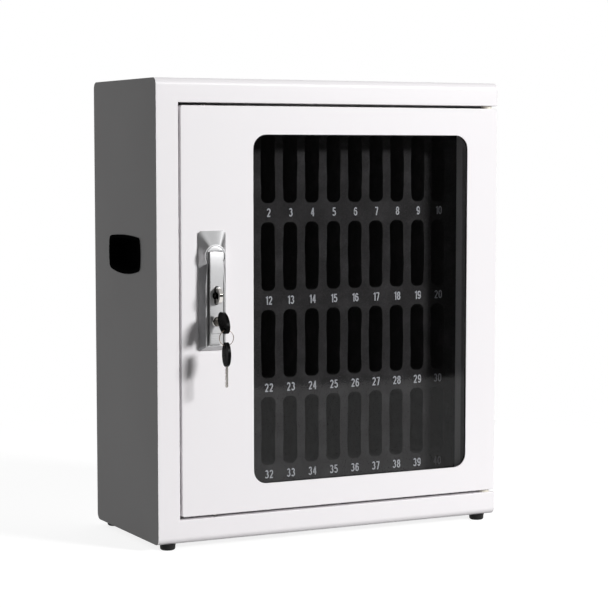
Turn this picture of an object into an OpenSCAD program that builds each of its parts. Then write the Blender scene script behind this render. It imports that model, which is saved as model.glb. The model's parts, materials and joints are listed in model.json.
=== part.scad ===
// Desk-top cabinet for storing phones: a folded steel case with a glazed door,
// rows of foam slots inside, carrying cups in both sides and a swing handle that
// draws two rods. Millimetres. X runs across the front, Y towards the back and Z up.
// Modules measure Y from the front face and Z from the soles of the feet; in_frame()
// then moves the whole object so that its origin is the centre of its footprint.

/* [Case] */

// Width over both side panels
case_w = 424; // [300:1:600]
// Height without the feet
case_h = 500; // [400:1:700]
// Depth from the front face to the back
case_d = 182; // [150:1:300]
// Thickness of all folded sheet steel
sheet = 1.2; // [0.8:0.1:2]
// Outside radius of the case's four long bends
bend_r = 7.5; // [3:0.5:20]
// Height of the rails above and below the door
rail_h = 26; // [15:0.5:50]
// Width of the stile left of the door
stile_w = 25.5; // [15:0.5:50]
// Depth of the inward lips on rails and stile
lip_d = 15; // [8:0.5:25]

/* [Feet] */

// Height of a rubber foot
foot_h = 7; // [4:0.5:15]
// Radius where a foot meets the case
foot_top_r = 9; // [6:0.5:15]
// Radius of the sole
foot_sole_r = 7; // [5:0.5:15]
// Distance of each foot from the case's side
foot_side = 16; // [13:1:40]
// Distance of each foot from the front or the back
foot_y = 13; // [10:1:40]

/* [Door] */

// Depth of the door pan
door_d = 20; // [12:0.5:25]
// Gap between the stile and the door
side_gap = 2.4; // [2:0.1:6]
// Gap above and below the door
end_gap = 3; // [2:0.1:6]
// Distance of the hinge axis from the right side
hinge_inset = 9.1; // [7:0.1:15]
// Distance of the hinge axis from the front
hinge_y = 9; // [6:0.5:15]
// Radius of a hinge pin
pin_r = 3; // [2:0.1:5]
// Radial running clearance of pins and shafts
run_gap = 0.08; // [0.01:0.01:0.1]
// Distance of the window from the case's left side
win_left = 113.4; // [105:0.1:150]
// Distance of the window from the case's right side
win_right = 39.6; // [39.5:0.1:80]
// Distance of the window from the case's underside
win_below = 58.65; // [50:0.05:100]
// Distance of the window from the case's top
win_above = 59.65; // [50:0.05:100]
// Radius of the window's corners
win_r = 15.5; // [2:0.5:40]
// Thickness of the pane
pane_t = 3; // [2:0.5:6]
// How far the pane reaches behind the door skin
pane_lap = 9; // [5:0.5:14]

/* [Foam] */

// Distance of the inner facia from the front
facia_y = 31; // [25:0.5:45]
// Distance of the foam's face from the front
foam_y = 45; // [35:0.5:80]
// Thickness of the foam pad that closes the slots
pad_t = 6; // [3:0.5:10]
// Distance between neighbouring slots
col_pitch = 27.46; // [20:0.01:40]
// Width of a slot
slot_w = 17.6; // [8:0.1:25]
// Corner radius of a slot
slot_r = 7; // [2:0.5:8]
// Foam between one row's slots and the next row's
row_web = 21; // [20:0.5:40]
// Least foam beside the outer slots
foam_edge = 16; // [8:0.1:30]

/* [Carrying cups] */

// Width of a cup's rim
cup_w = 91; // [80:1:120]
// Height of a cup's rim
cup_h = 43; // [30:1:60]
// Depth of a cup
cup_d = 24; // [15:1:25]
// Distance of the cups' centre below the case's top
cup_drop = 190.5; // [100:0.5:250]

/* [Handle] */

// Distance of the handle's axis from the left side
handle_inset = 63.6; // [50:0.1:90]
// Distance of the handle's axis below the case's top
handle_drop = 189.6; // [120:0.1:250]
// Width of the handle plate
hplate_w = 32; // [28:0.5:50]
// How far the handle plate stands out
hplate_d = 9.5; // [6:0.1:15]
// Width of the swing bar
bar_w = 15.6; // [10:0.1:20]
// Height of the raised lip round the swing bar
lip_h = 0.5; // [0.2:0.1:1]
// Radius of the disc that carries the swing bar
disc_r = 11; // [8:0.5:15]
// Throw radius of the pins that draw the rods
throw_r = 8; // [5:0.5:10]
// Radius of a rod
rod_r = 3; // [2:0.1:5]
// Play of a throw pin in its fork
fork_gap = 0.35; // [0.2:0.01:0.6]

/* [Keys] */

// Length of a key's head
head_l = 26; // [18:0.5:32]
// Width of a key's head
head_w = 23; // [15:0.5:30]
// Thickness of a key's head
head_t = 3.5; // [2:0.1:5]
// Distance of the fitted key's head from the door
head_y = 31.5; // [28:0.5:50]
// Middle radius of the split ring
ring_r = 8.2; // [6:0.1:15]
// Radius of the ring's wire
wire_r = 0.6; // [0.4:0.1:1]

/* [Part] */

// Part to draw

/* [Hidden] */

$fn = 48;
// Overshoot of a cutting shape past the face it cuts
cut = 1;

// Inner face of the side panels, and the case's inside levels
in_x = case_w / 2 - sheet;
foot_x = case_w / 2 - foot_side;
facia_flange = 12;
floor_z = foot_h + sheet;
roof_z = foot_h + case_h - sheet;

// Door opening and door
open_z0 = foot_h + rail_h;
open_z1 = foot_h + case_h - rail_h;
stile_x = -case_w / 2 + stile_w;
door_x0 = stile_x + side_gap;
door_x1 = case_w / 2;
door_z0 = open_z0 + end_gap;
door_z1 = open_z1 - end_gap;
hinge_x = case_w / 2 - hinge_inset;
// Radius that the door's rear corner sweeps round the hinge, plus room
corner_sweep = norm([hinge_inset, door_d - hinge_y]) + 1.2;
notch_y = hinge_y + sqrt(pow(corner_sweep, 2) - pow(hinge_inset - sheet, 2));
bush_r = pin_r + 1.8;
bush_flange = end_gap - 0.1;
bush_reach = 5;
bumper_r = 5;
bumper_inset = 61;

// Window build-up behind the skin
gasket_t = 1;
gasket_show = 0.8;
pane_y = sheet + gasket_t;
retain_y = pane_y + pane_t;
win_w = case_w - win_left - win_right;
win_h = case_h - win_below - win_above;
win_x = (win_left - win_right) / 2;
glaze_w = win_w + 2 * pane_lap;
glaze_h = win_h + 2 * pane_lap;
stud_r = 1.5;
stud_out = 4;
stud_corner = 30;
stud_x = 80;
window_centre = [win_x, foot_h + win_below + win_h / 2];

// Foam block: it reaches past the window on all sides, and its rows share its height
foam_past_side = 12.87;
foam_past_sill = 12.65;
foam_past_head = 19.65;
foam_w = win_w + 2 * foam_past_side;
foam_z0 = foot_h + win_below - foam_past_sill;
foam_z1 = foot_h + case_h - win_above + foam_past_head;
rear_room = 8.6;
foam_depth = case_d - foam_y - pad_t - 2 * sheet - rear_room;
pad_y = foam_y + foam_depth;
slot_rows = 4;
slot_cols = 1 + floor((foam_w - 2 * foam_edge - slot_w) / col_pitch + 0.01);
seam_drop = 19;
foam_over = 16.3;
foam_under = 5.7;
row_pitch = (foam_z1 - foam_z0 - foam_over - foam_under) / slot_rows;
slot_h = row_pitch - row_web;
slot_z = foam_z0 + foam_under + seam_drop;

// Carrying cup
cup_z = foot_h + case_h - cup_drop;
cup_rim = 1;
cup_wall = 1.6;
cup_lap = 2;
cup_side = 2.2;
cup_top = 2.1;
cup_foot = 5.2;
cup_corner = 4;

// Handle
axis_x = -case_w / 2 + handle_inset;
axis_z = foot_h + case_h - handle_drop;
plate_top = 27;
plate_bottom = -101.6;
plate_edge = 1.5;
plate_face = bar_w / 2 + 3.7;
bar_room = 2.5;
bay_neck = 8.5;
bay_flare = -32;
bay_d = 3;
lip_t = 1.2;
screw_up = 20;
screw_down = 24;
screw_side = 10.5;
lip_out = hplate_d + lip_h;
bar_in = lip_out + 0.25;
bar_t = 2.9;
bar_end = -94.7;
knuckle_r = 1.3;
knuckle_out = bar_in + knuckle_r;
knuckle_z = 4.3;
lift_r = 0.6;
bar_step = -83;
lock_z = -69.8;
eye_z = -41.8;
barrel_r = 5.25;
plug_r = 4;
barrel_out = bar_in + 4;
seat_r = 5;
seat_gap = 0.05;
eye_w = 4;
eye_h = 17.5;
eye_out = 12;
shaft_r = 6;
tail_r = 2.8;
cam_y = 4;
cam_t = 2.5;
link_y = 7;
link_t = 3;
throw_pin_r = 2;
throw_rise = throw_r * sin(45);
rod_x = 6.1;
rod_y = link_y + link_t / 2;
rod_up = 17;
house_w = 40;
house_h = 60;
house_y = 14;
guide_r = rod_r + 1.8;

// Keys: the ring's wire hangs in a key's hole, and curves away within the head's thickness
hole_r = 1.7;
wire_dip = ring_r - sqrt(pow(ring_r, 2) - pow(head_t / 2, 2));
hole_hang = hole_r - wire_r - wire_dip - 0.1;
hole_out = 6.2;
hole_drop = 6.6;
spare_hole = 8.5;
key_x = axis_x;
key_z = axis_z + lock_z;
ring_y = -(head_y + hole_out);
ring_top = key_z - hole_drop - hole_hang;
spare_z = ring_top - 2 * ring_r - hole_hang - spare_hole;
blade_w = 6;
blade_t = 2;
spare_blade_l = 22.5;

// Front face behind the origin: the footprint runs from the keys to the back
spare_w = head_w - 1;
proud = max(head_y + head_l / 2, -ring_y + spare_w / 2);
front_y = -(case_d - proud) / 2;

// Corner points of a rectangle with round corners, centred
function rounded(w, h, r, n) = [for (c = [0:3]) for (i = [0:n])
    let (a = 90 * (c + i / n), sx = (c == 0 || c == 3) ? 1 : -1, sy = c < 2 ? 1 : -1)
    [sx * (w / 2 - r) + r * cos(a), sy * (h / 2 - r) + r * sin(a)]];
// Point between two corners on a side that bulges by b
function on_side(p, q, b, t) = p + (q - p) * t + b * 4 * t * (1 - t);
// Outline whose four sides bulge outwards between small round corners
function arched(w, h, side, top, foot, r) = let (
    x = w / 2 - side, z0 = foot - h / 2, z1 = h / 2 - top,
    c = [[x, z1], [-x, z1], [-x, z0], [x, z0]],
    b = [[0, top], [-side, 0], [0, -foot], [side, 0]])
    [for (k = [0:3]) let (
        p = c[k], q = c[(k + 1) % 4], after = c[(k + 2) % 4],
        m = r / norm(q - p), n = r / norm(after - q),
        from = on_side(p, q, b[k], 1 - m), to = on_side(q, after, b[(k + 1) % 4], n))
        each concat([for (i = [0:12]) on_side(p, q, b[k], m + (1 - 2 * m) * i / 12)],
            [for (i = [1:4]) let (u = i / 5) from * (1 - u) * (1 - u) + q * 2 * u * (1 - u) + to * u * u])];
function oval(w, h, n) = [for (i = [0:n - 1]) [w / 2 * cos(360 * i / n), h / 2 * sin(360 * i / n)]];

module in_frame() translate([0, front_y, 0]) children();

module at_handle() in_frame() translate([axis_x, 0, axis_z]) children();

// Plate in the X-Z plane between two depths
module plate_xz(y0, y1) translate([0, y1, 0]) rotate([90, 0, 0]) linear_extrude(y1 - y0) children();

// Prism along X from a Y-Z outline
module prism_x(x0, x1) translate([x0, 0, 0]) rotate([90, 0, 90]) linear_extrude(x1 - x0) children();

module along_y(y0, y1, r) translate([0, y0, 0]) rotate([-90, 0, 0]) cylinder(h = y1 - y0, r = r);

module along_x(x0, x1, r) translate([x0, 0, 0]) rotate([0, 90, 0]) cylinder(h = x1 - x0, r = r);

module along_z(z0, z1, r) translate([0, 0, z0]) cylinder(h = z1 - z0, r = r);

module block(x0, x1, y0, y1, z0, z1) translate([x0, y0, z0]) cube([x1 - x0, y1 - y0, z1 - z0]);

module case_outline(inset) translate([case_d / 2, foot_h + case_h / 2])
    polygon(rounded(case_d - 2 * inset, case_h - 2 * inset, bend_r - inset, 10));

module at_feet() for (x = [-foot_x, foot_x]) for (y = [foot_y, case_d - foot_y]) translate([x, y, 0]) children();

// Holes of the rods and hinge pins in the rails' lips
module lip_holes() {
    for (s = [-1, 1]) translate([axis_x + s * rod_x, rod_y, s < 0 ? open_z1 - cut : open_z0 - sheet - cut])
        cylinder(h = sheet + 2 * cut, r = rod_r + 1);
    translate([hinge_x, hinge_y, open_z0 - sheet - cut]) cylinder(h = sheet + 2 * cut, r = pin_r + run_gap);
    translate([hinge_x, hinge_y, open_z1 - cut]) cylinder(h = sheet + 2 * cut, r = pin_r + run_gap);
}

module case_wrap() color("WhiteSmoke") in_frame() difference() {
    prism_x(-in_x, in_x) {
        difference() {
            case_outline(0);
            case_outline(sheet);
            translate([-cut, open_z0]) square([cut + 2 * sheet, open_z1 - open_z0]);
        }
        translate([0, open_z0 - sheet]) square([lip_d, sheet]);
        translate([0, open_z1]) square([lip_d, sheet]);
    }
    lip_holes();
    at_feet() along_z(foot_h - cut, floor_z + cut, 2.1);
}

module cup_outline(grow) translate([case_d / 2, cup_z])
    polygon(arched(cup_w + 2 * grow, cup_h + 2 * grow, cup_side, cup_top, cup_foot, cup_corner));

module side_panel(notched) prism_x(0, sheet) difference() {
    case_outline(0);
    cup_outline(-cup_lap);
    if (notched) translate([-cut, open_z0]) square([notch_y + cut, open_z1 - open_z0]);
}

module side_panel_left() color("DimGray") in_frame() translate([-case_w / 2, 0, 0]) side_panel(false);

module side_panel_right() color("DimGray") in_frame() translate([in_x, 0, 0]) side_panel(true);

module left_stile() color("WhiteSmoke") in_frame() {
    block(-in_x, stile_x, 0, sheet, open_z0, open_z1);
    block(stile_x - sheet, stile_x, 0, lip_d, open_z0, open_z1);
    block(-in_x, -in_x + sheet, 0, lip_d, open_z0, open_z1);
}

module facia() color("DarkSlateGray") in_frame() {
    plate_xz(facia_y, facia_y + sheet) difference() {
        translate([-in_x, floor_z]) square([2 * in_x, roof_z - floor_z]);
        translate([win_x - foam_w / 2, foam_z0]) square([foam_w, foam_z1 - foam_z0]);
    }
    difference() {
        for (x = [-in_x, in_x - sheet]) block(x, x + sheet, facia_y + sheet, facia_y + facia_flange, floor_z, roof_z);
        prism_x(-case_w / 2, case_w / 2) cup_outline(0);
    }
}

module liner() color("DarkSlateGray") in_frame() {
    plate_xz(facia_y + sheet, pad_y + pad_t) difference() {
        translate([win_x - foam_w / 2 - sheet, foam_z0 - sheet])
            square([foam_w + 2 * sheet, foam_z1 - foam_z0 + 2 * sheet]);
        translate([win_x - foam_w / 2, foam_z0]) square([foam_w, foam_z1 - foam_z0]);
    }
    plate_xz(pad_y + pad_t, pad_y + pad_t + sheet) translate([win_x - foam_w / 2 - sheet, foam_z0 - sheet])
        square([foam_w + 2 * sheet, foam_z1 - foam_z0 + 2 * sheet]);
}

// One foam row, counted from the bottom
module foam_row(k) color([0.16, 0.16, 0.17]) in_frame() plate_xz(foam_y, foam_y + foam_depth) {
    z0 = slot_z + k * row_pitch;
    low = k == 0 ? foam_z0 : z0 - seam_drop;
    high = k == slot_rows - 1 ? foam_z1 : z0 - seam_drop + row_pitch;
    difference() {
        translate([win_x - foam_w / 2, low]) square([foam_w, high - low]);
        for (c = [0:slot_cols - 1]) translate([win_x + (c - (slot_cols - 1) / 2) * col_pitch, z0 + slot_h / 2])
            polygon(rounded(slot_w, slot_h, slot_r, 6));
    }
}

module foam_row_1() foam_row(3);

module foam_row_2() foam_row(2);

module foam_row_3() foam_row(1);

module foam_row_4() foam_row(0);

module foam_pad() color([0.13, 0.13, 0.14]) in_frame() plate_xz(pad_y, pad_y + pad_t)
    translate([win_x - foam_w / 2, foam_z0]) square([foam_w, foam_z1 - foam_z0]);

// Cup let into the left side, open to the left
module carry_cup() difference() {
    union() {
        prism_x(-case_w / 2 - cup_rim, -case_w / 2) cup_outline(0);
        prism_x(-case_w / 2, -case_w / 2 + cup_d) cup_outline(-cup_lap - 0.1);
    }
    prism_x(-case_w / 2 - cup_rim - cut, -case_w / 2 + cup_d - cup_wall) cup_outline(-cup_lap - cup_wall);
}

module carry_cup_left() color([0.06, 0.06, 0.06]) in_frame() carry_cup();

module carry_cup_right() color([0.06, 0.06, 0.06]) in_frame() mirror([1, 0, 0]) carry_cup();

module foot(x, y) color([0.08, 0.08, 0.08]) in_frame() translate([x, y, 0]) difference() {
    cylinder(h = foot_h, r1 = foot_sole_r, r2 = foot_top_r);
    along_z(-cut, foot_h + cut, 2.1);
    along_z(-cut, 4, 4.6);
}

module foot_front_left() foot(-foot_x, foot_y);

module foot_front_right() foot(foot_x, foot_y);

module foot_rear_left() foot(-foot_x, case_d - foot_y);

module foot_rear_right() foot(foot_x, case_d - foot_y);

module foot_screws() color("Silver") in_frame() at_feet() {
    along_z(1.8, 4, 4.2);
    along_z(4, floor_z + 7, 2);
}

module foot_nuts() color("Silver") in_frame() at_feet() difference() {
    along_z(floor_z, floor_z + 3, 4.2);
    along_z(floor_z - cut, floor_z + 3 + cut, 2.05);
}

// Plate above the top lip or below the bottom lip that holds a hinge pin
module hinge_plate(z0) color("Silver") in_frame() difference() {
    block(in_x - 36, in_x, sheet + 0.1, lip_d + 6, z0, z0 + 2);
    translate([hinge_x, hinge_y, 0]) along_z(z0 - cut, z0 + 2 + cut, pin_r + 0.01);
}

module hinge_plate_top() hinge_plate(open_z1 + sheet);

module hinge_plate_bottom() hinge_plate(open_z0 - sheet - 2);

// Hinge pin that stands up out of the bottom plate
module hinge_pin(z, s) color("Silver") in_frame() translate([hinge_x, hinge_y, z])
    mirror([0, 0, s < 0 ? 1 : 0]) {
        along_z(-sheet - 2 - 1.5, -sheet - 2, pin_r + 2);
        along_z(-sheet - 2, end_gap + bush_reach, pin_r);
    }

module hinge_pin_top() hinge_pin(open_z1, -1);

module hinge_pin_bottom() hinge_pin(open_z0, 1);

module door_bumpers() color([0.08, 0.08, 0.08]) in_frame()
    for (z = [door_z0 + bumper_inset, door_z1 - bumper_inset]) translate([door_x0 + bumper_r, 0, z])
        along_y(door_d + 0.2, facia_y, bumper_r);

module window_outline(grow) translate(window_centre)
    polygon(rounded(win_w + 2 * grow, win_h + 2 * grow, win_r + grow, 8));

// Studs that hold the pane's retainer
module at_studs() {
    for (x = [-1, 1]) for (z = [-1, 0, 1]) translate([window_centre[0] + x * (glaze_w / 2 + stud_out), 0,
        window_centre[1] + z * (glaze_h / 2 - stud_corner)]) children();
    for (x = [-stud_x, stud_x]) for (z = [-1, 1]) translate([window_centre[0] + x, 0,
        window_centre[1] + z * (glaze_h / 2 + stud_out)]) children();
}

module door_skin() color("WhiteSmoke") in_frame() difference() {
    union() {
        plate_xz(0, sheet) difference() {
            translate([door_x0, door_z0]) square([door_x1 - door_x0, door_z1 - door_z0]);
            window_outline(0);
        }
        plate_xz(sheet, door_d) difference() {
            translate([door_x0, door_z0]) square([door_x1 - door_x0, door_z1 - door_z0]);
            translate([door_x0 + sheet, door_z0 + sheet])
                square([door_x1 - door_x0 - 2 * sheet, door_z1 - door_z0 - 2 * sheet]);
        }
    }
    translate([axis_x, 0, axis_z]) {
        along_y(-cut, sheet + cut, shaft_r + 1);
        at_plate_screws() along_y(-cut, sheet + cut, 2.1);
    }
    translate([hinge_x, hinge_y, 0]) {
        along_z(door_z0 - cut, door_z0 + sheet + cut, bush_r + 0.05);
        along_z(door_z1 - sheet - cut, door_z1 + cut, bush_r + 0.05);
    }
    translate([axis_x - rod_x, rod_y, 0]) along_z(door_z1 - sheet - cut, door_z1 + cut, guide_r + 0.05);
    translate([axis_x + rod_x, rod_y, 0]) along_z(door_z0 - cut, door_z0 + sheet + cut, guide_r + 0.05);
}

module pane_gasket() color([0.05, 0.05, 0.05]) in_frame() plate_xz(sheet, pane_y) difference() {
    window_outline(pane_lap);
    window_outline(-gasket_show);
}

module window_pane() color([0.25, 0.27, 0.28, 0.4]) in_frame() plate_xz(pane_y, retain_y) window_outline(pane_lap);

module pane_retainer() color("LightGray") in_frame() difference() {
    plate_xz(retain_y, retain_y + sheet) difference() {
        window_outline(pane_lap + 2 * stud_out);
        window_outline(2);
    }
    at_studs() along_y(retain_y - cut, retain_y + sheet + cut, stud_r + 0.1);
}

module pane_studs() color("Silver") in_frame() at_studs() along_y(sheet, retain_y + sheet + 3.4, stud_r);

module pane_nuts() color("Silver") in_frame() at_studs() difference() {
    along_y(retain_y + sheet, retain_y + sheet + 2.4, 3);
    along_y(retain_y, retain_y + sheet + 2.4 + cut, stud_r + 0.05);
}

// Flanged bush in the door's end wall, built for the top
module hinge_bush(z, s) color("Ivory") in_frame() translate([hinge_x, hinge_y, z])
    mirror([0, 0, s < 0 ? 1 : 0]) difference() {
        union() {
            along_z(0, bush_flange, bush_r + 1.2);
            along_z(-bush_reach, 0, bush_r);
        }
        along_z(-bush_reach - cut, bush_flange + cut, pin_r + run_gap);
    }

module hinge_bush_top() hinge_bush(door_z1, 1);

module hinge_bush_bottom() hinge_bush(door_z0, -1);

// Guides that the rods slide in at the door's ends
module rod_guides() color([0.1, 0.1, 0.1]) in_frame() for (s = [-1, 1])
    translate([axis_x + s * rod_x, rod_y, s < 0 ? door_z1 : door_z0]) mirror([0, 0, s < 0 ? 0 : 1])
        difference() {
            union() {
                along_z(-sheet - 6, 0, guide_r);
                along_z(-sheet - 6, -sheet, guide_r + 1.2);
            }
            along_z(-sheet - 6 - cut, cut, rod_r + run_gap);
        }

// The handle plate's four screws, about the handle's axis
module at_plate_screws() for (z = [-screw_down, screw_up]) for (x = [-screw_side, screw_side])
    translate([x, 0, z]) children();

module lock_housing() color("Silver") at_handle() difference() {
    block(-house_w / 2, house_w / 2, sheet, house_y, -house_h / 2, house_h / 2);
    block(-house_w / 2 + 1.5, house_w / 2 - 1.5, sheet + 1.2, house_y - 1.5, -house_h / 2 - cut, house_h / 2 + cut);
    along_y(0, sheet + 1.2 + cut, shaft_r + run_gap);
    along_y(house_y - 1.5 - cut, house_y + cut, tail_r + run_gap);
    at_plate_screws() along_y(0, sheet + 1.2 + cut, 2.1);
}

// Handle plate's outline across, from the door outwards
module plate_across() polygon([[-hplate_w / 2, 0], [-hplate_w / 2, -plate_edge], [-plate_face, -hplate_d],
    [plate_face, -hplate_d], [hplate_w / 2, -plate_edge], [hplate_w / 2, 0]]);

// Handle plate's outline upwards, from the door outwards
module plate_upwards() polygon([[0, plate_bottom], [-plate_edge, plate_bottom], [-hplate_d, plate_bottom + 4],
    [-hplate_d, disc_r], [-plate_edge, plate_top], [0, plate_top]]);

// Outline of the bay round the disc and the bar
module bar_bay(grow) {
    half = bar_w / 2 + bar_room + grow;
    neck = bay_neck + grow;
    circle(r = disc_r + 0.3 + grow);
    polygon([[-neck, 0], [-neck, -disc_r], [-half, bay_flare], [-half, plate_bottom + 5.8 - grow],
        [half, plate_bottom + 5.8 - grow], [half, bay_flare], [neck, -disc_r], [neck, 0]]);
}

module handle_plate() color("Silver") at_handle() difference() {
    union() {
        intersection() {
            translate([0, 0, plate_bottom]) linear_extrude(plate_top - plate_bottom) plate_across();
            prism_x(-hplate_w / 2, hplate_w / 2) plate_upwards();
            plate_xz(-hplate_d, 0) translate([0, (plate_top + plate_bottom) / 2])
                polygon(rounded(hplate_w, plate_top - plate_bottom, 3.5, 6));
        }
        along_y(-hplate_d, 0, disc_r + 1.9);
        plate_xz(-lip_out, -hplate_d) bar_bay(lip_t);
    }
    plate_xz(-lip_out - cut, -hplate_d + bay_d) bar_bay(0);
    along_y(-hplate_d, cut, shaft_r + run_gap);
    at_plate_screws() along_y(-4.5, cut, 2.05);
}

module plate_screws() color("Silver") at_handle() at_plate_screws() {
    along_y(-4, sheet + 1.2, 2);
    along_y(sheet + 1.2, sheet + 1.2 + 1.5, 3.4);
}

// Turning part: disc in front, shaft through the door, tail in the housing
module spindle() color("Silver") at_handle() difference() {
    union() {
        along_y(-lip_out, -hplate_d + 2.9, disc_r);
        along_y(-hplate_d + 2.9, cam_y, shaft_r);
        along_y(cam_y, house_y, tail_r);
        prism_x(-3, 3) {
            translate([-knuckle_out, knuckle_z]) circle(r = knuckle_r - 0.2);
            translate([-knuckle_out, knuckle_z - knuckle_r + 0.2]) square([knuckle_out - lip_out + 0.2, 2 * knuckle_r - 0.4]);
        }
    }
    translate([0, -knuckle_out, knuckle_z]) along_x(-3 - cut, 3 + cut, lift_r + 0.02);
    along_y(house_y - 5, house_y + cut, 1.3);
}

module throw_cam() color("Silver") at_handle() difference() {
    union() {
        along_y(cam_y, cam_y + cam_t, disc_r);
        for (s = [-1, 1]) translate([s * throw_rise, 0, -s * throw_rise])
            along_y(cam_y + cam_t, link_y + link_t + 0.8, throw_pin_r);
    }
    along_y(cam_y - cut, cam_y + cam_t + cut, tail_r);
}

module cam_screw() color("DimGray") at_handle() {
    along_y(house_y, house_y + 1.6, 3.6);
    along_y(house_y - 4.5, house_y, 1.25);
}

module lift_pin() color("Silver") at_handle() translate([0, -knuckle_out, knuckle_z])
    along_x(-bar_w / 2 + 0.5, bar_w / 2 - 0.5, lift_r);

// Side view of the swing bar: depth from the door, height from the axis
module bar_side() {
    translate([-knuckle_out, knuckle_z]) circle(r = knuckle_r);
    polygon([[-bar_in, knuckle_z], [-bar_in, bar_end], [-bar_in - 2, bar_end], [-bar_in - 2, bar_step],
        [-bar_in - bar_t, bar_step], [-bar_in - bar_t, -52], [-bar_in - bar_t - 0.5, -15],
        [-bar_in - bar_t, knuckle_z + 1.1], [-knuckle_out, knuckle_z + 1.1]]);
}

module handle_bar() color("Gainsboro") at_handle() difference() {
    union() {
        prism_x(-bar_w / 2, bar_w / 2) bar_side();
        for (k = [0:3]) block(-bar_w / 2 + 1, bar_w / 2 - 1, -bar_in - 2.5, -bar_in - 1,
            bar_end + 2 + k * 2.5, bar_end + 3.1 + k * 2.5);
    }
    block(-3.2, 3.2, -knuckle_out - knuckle_r + 0.1, -bar_in + cut, knuckle_z - 2.4, knuckle_z + knuckle_r + cut);
    translate([0, -knuckle_out, knuckle_z]) along_x(-bar_w / 2 + 0.5, bar_w / 2 - 0.5, lift_r + 0.05);
    translate([0, 0, lock_z]) along_y(-bar_in - 6, -bar_in + cut, barrel_r - 0.75);
    translate([0, 0, eye_z]) {
        along_y(-bar_in - 6, -bar_in + cut, seat_r + seat_gap);
        plate_xz(-bar_in - 6, -bar_in + cut) seat_slot(seat_gap);
    }
}

module lock_barrel() color("Silver") at_handle() translate([0, 0, lock_z]) difference() {
    union() {
        along_y(-barrel_out, -bar_in - bar_t, barrel_r);
        along_y(-bar_in - bar_t, -bar_in, barrel_r - 0.75);
    }
    along_y(-barrel_out - cut, -bar_in + cut, plug_r + run_gap);
}

module seat_slot(grow) polygon(rounded(6 + 2 * grow, 20 + 2 * grow, 2.9 + grow, 6));

// Black seat in the bar that the padlock eye turns in
module eye_seat() color([0.05, 0.05, 0.05]) at_handle() translate([0, 0, eye_z]) difference() {
    union() {
        along_y(-bar_in - 2.2, -bar_in, seat_r);
        plate_xz(-bar_in - 2.2, -bar_in) seat_slot(0);
    }
    along_y(-bar_in - 6, -bar_in + cut, 3.4 + run_gap);
}

module padlock_eye() color("Silver") at_handle() translate([0, 0, eye_z]) {
    along_y(-bar_in - 3.6, -bar_in, 3.4);
    prism_x(-eye_w / 2, eye_w / 2) difference() {
        intersection() {
            translate([-bar_in - 6.4, 0]) polygon(oval(2 * (eye_out - 3.4), eye_h, 48));
            translate([-bar_in - 20, -eye_h / 2]) square([20 - 3.6, eye_h]);
        }
        translate([-bar_in - 8.4, 0]) circle(r = 3.5);
    }
}

module lock_plug() color("DimGray") at_handle() translate([0, 0, lock_z]) difference() {
    along_y(-barrel_out, -bar_in, plug_r);
    block(-blade_t / 2, blade_t / 2, -barrel_out - cut, -bar_in - 0.6, -blade_w / 2, blade_w / 2);
}

// Key blade along its own length, with a notched edge
module blade_outline(l) polygon(concat([[0, -blade_w / 2], [0, blade_w / 2]],
    [for (i = [0:2 * floor(l / 4)]) [2 + i * (l - 4) / (2 * floor(l / 4)), blade_w / 2 - (i % 2) * 1.2]],
    [[l, blade_w / 2 - 2], [l, 2 - blade_w / 2], [l - 2, -blade_w / 2]]));

module key_blade() color("Silver") in_frame() translate([key_x, 0, key_z])
    block(-blade_t / 2, blade_t / 2, -head_y + head_l / 2 - 3, -bar_in - 0.6, -blade_w / 2, blade_w / 2);

// Key head in the Y-Z plane; the hole's place is given along and across
module head(along, across, l, w) difference() {
    prism_x(-head_t / 2, head_t / 2) difference() {
        polygon(oval(l, w, 56));
        translate([along, across]) circle(r = hole_r);
    }
    children();
}

module key_head() color([0.05, 0.05, 0.05]) in_frame() translate([key_x, -head_y, key_z])
    head(-hole_out, -hole_drop, head_l, head_w)
        block(-blade_t / 2, blade_t / 2, head_l / 2 - 3, head_l, -blade_w / 2, blade_w / 2);

module key_ring() color("Silver") in_frame() translate([key_x, ring_y, ring_top - ring_r]) rotate([90, 0, 0])
    rotate_extrude() translate([ring_r, 0]) circle(r = wire_r, $fn = 24);

module spare_blade() color("Silver") in_frame()
    translate([key_x - blade_t / 2, ring_y, spare_z - head_l / 2 + 3]) rotate([0, 90, 0])
        linear_extrude(blade_t) blade_outline(spare_blade_l + 3);

module spare_head() color([0.05, 0.05, 0.05]) in_frame() translate([key_x, ring_y, spare_z])
    head(0, spare_hole, spare_w, head_l)
        block(-blade_t / 2, blade_t / 2, -blade_w / 2, blade_w / 2, -head_l, -head_l / 2 + 3);

// Rod with its fork, s is -1 for the upper rod and 1 for the lower one
module rod(s) color("Silver") at_handle() {
    tip = s < 0 ? open_z1 - axis_z - 1.4 : axis_z - open_z0 - 1.4;
    inner = throw_rise - throw_pin_r - 0.3;
    mirror([0, 0, s < 0 ? 0 : 1]) mirror([s < 0 ? 1 : 0, 0, 0]) {
        plate_xz(link_y, link_y + link_t) difference() {
            translate([inner, throw_rise - 5]) square([12 - inner, rod_up + 9]);
            translate([inner - cut, throw_rise - throw_pin_r - fork_gap])
                square([throw_r + throw_pin_r + 0.6 - inner + cut, 2 * (throw_pin_r + fork_gap)]);
        }
        translate([rod_x, rod_y, 0]) along_z(throw_rise + rod_up, tip, rod_r);
    }
}

module upper_rod() rod(-1);

module lower_rod() rod(1);

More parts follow.
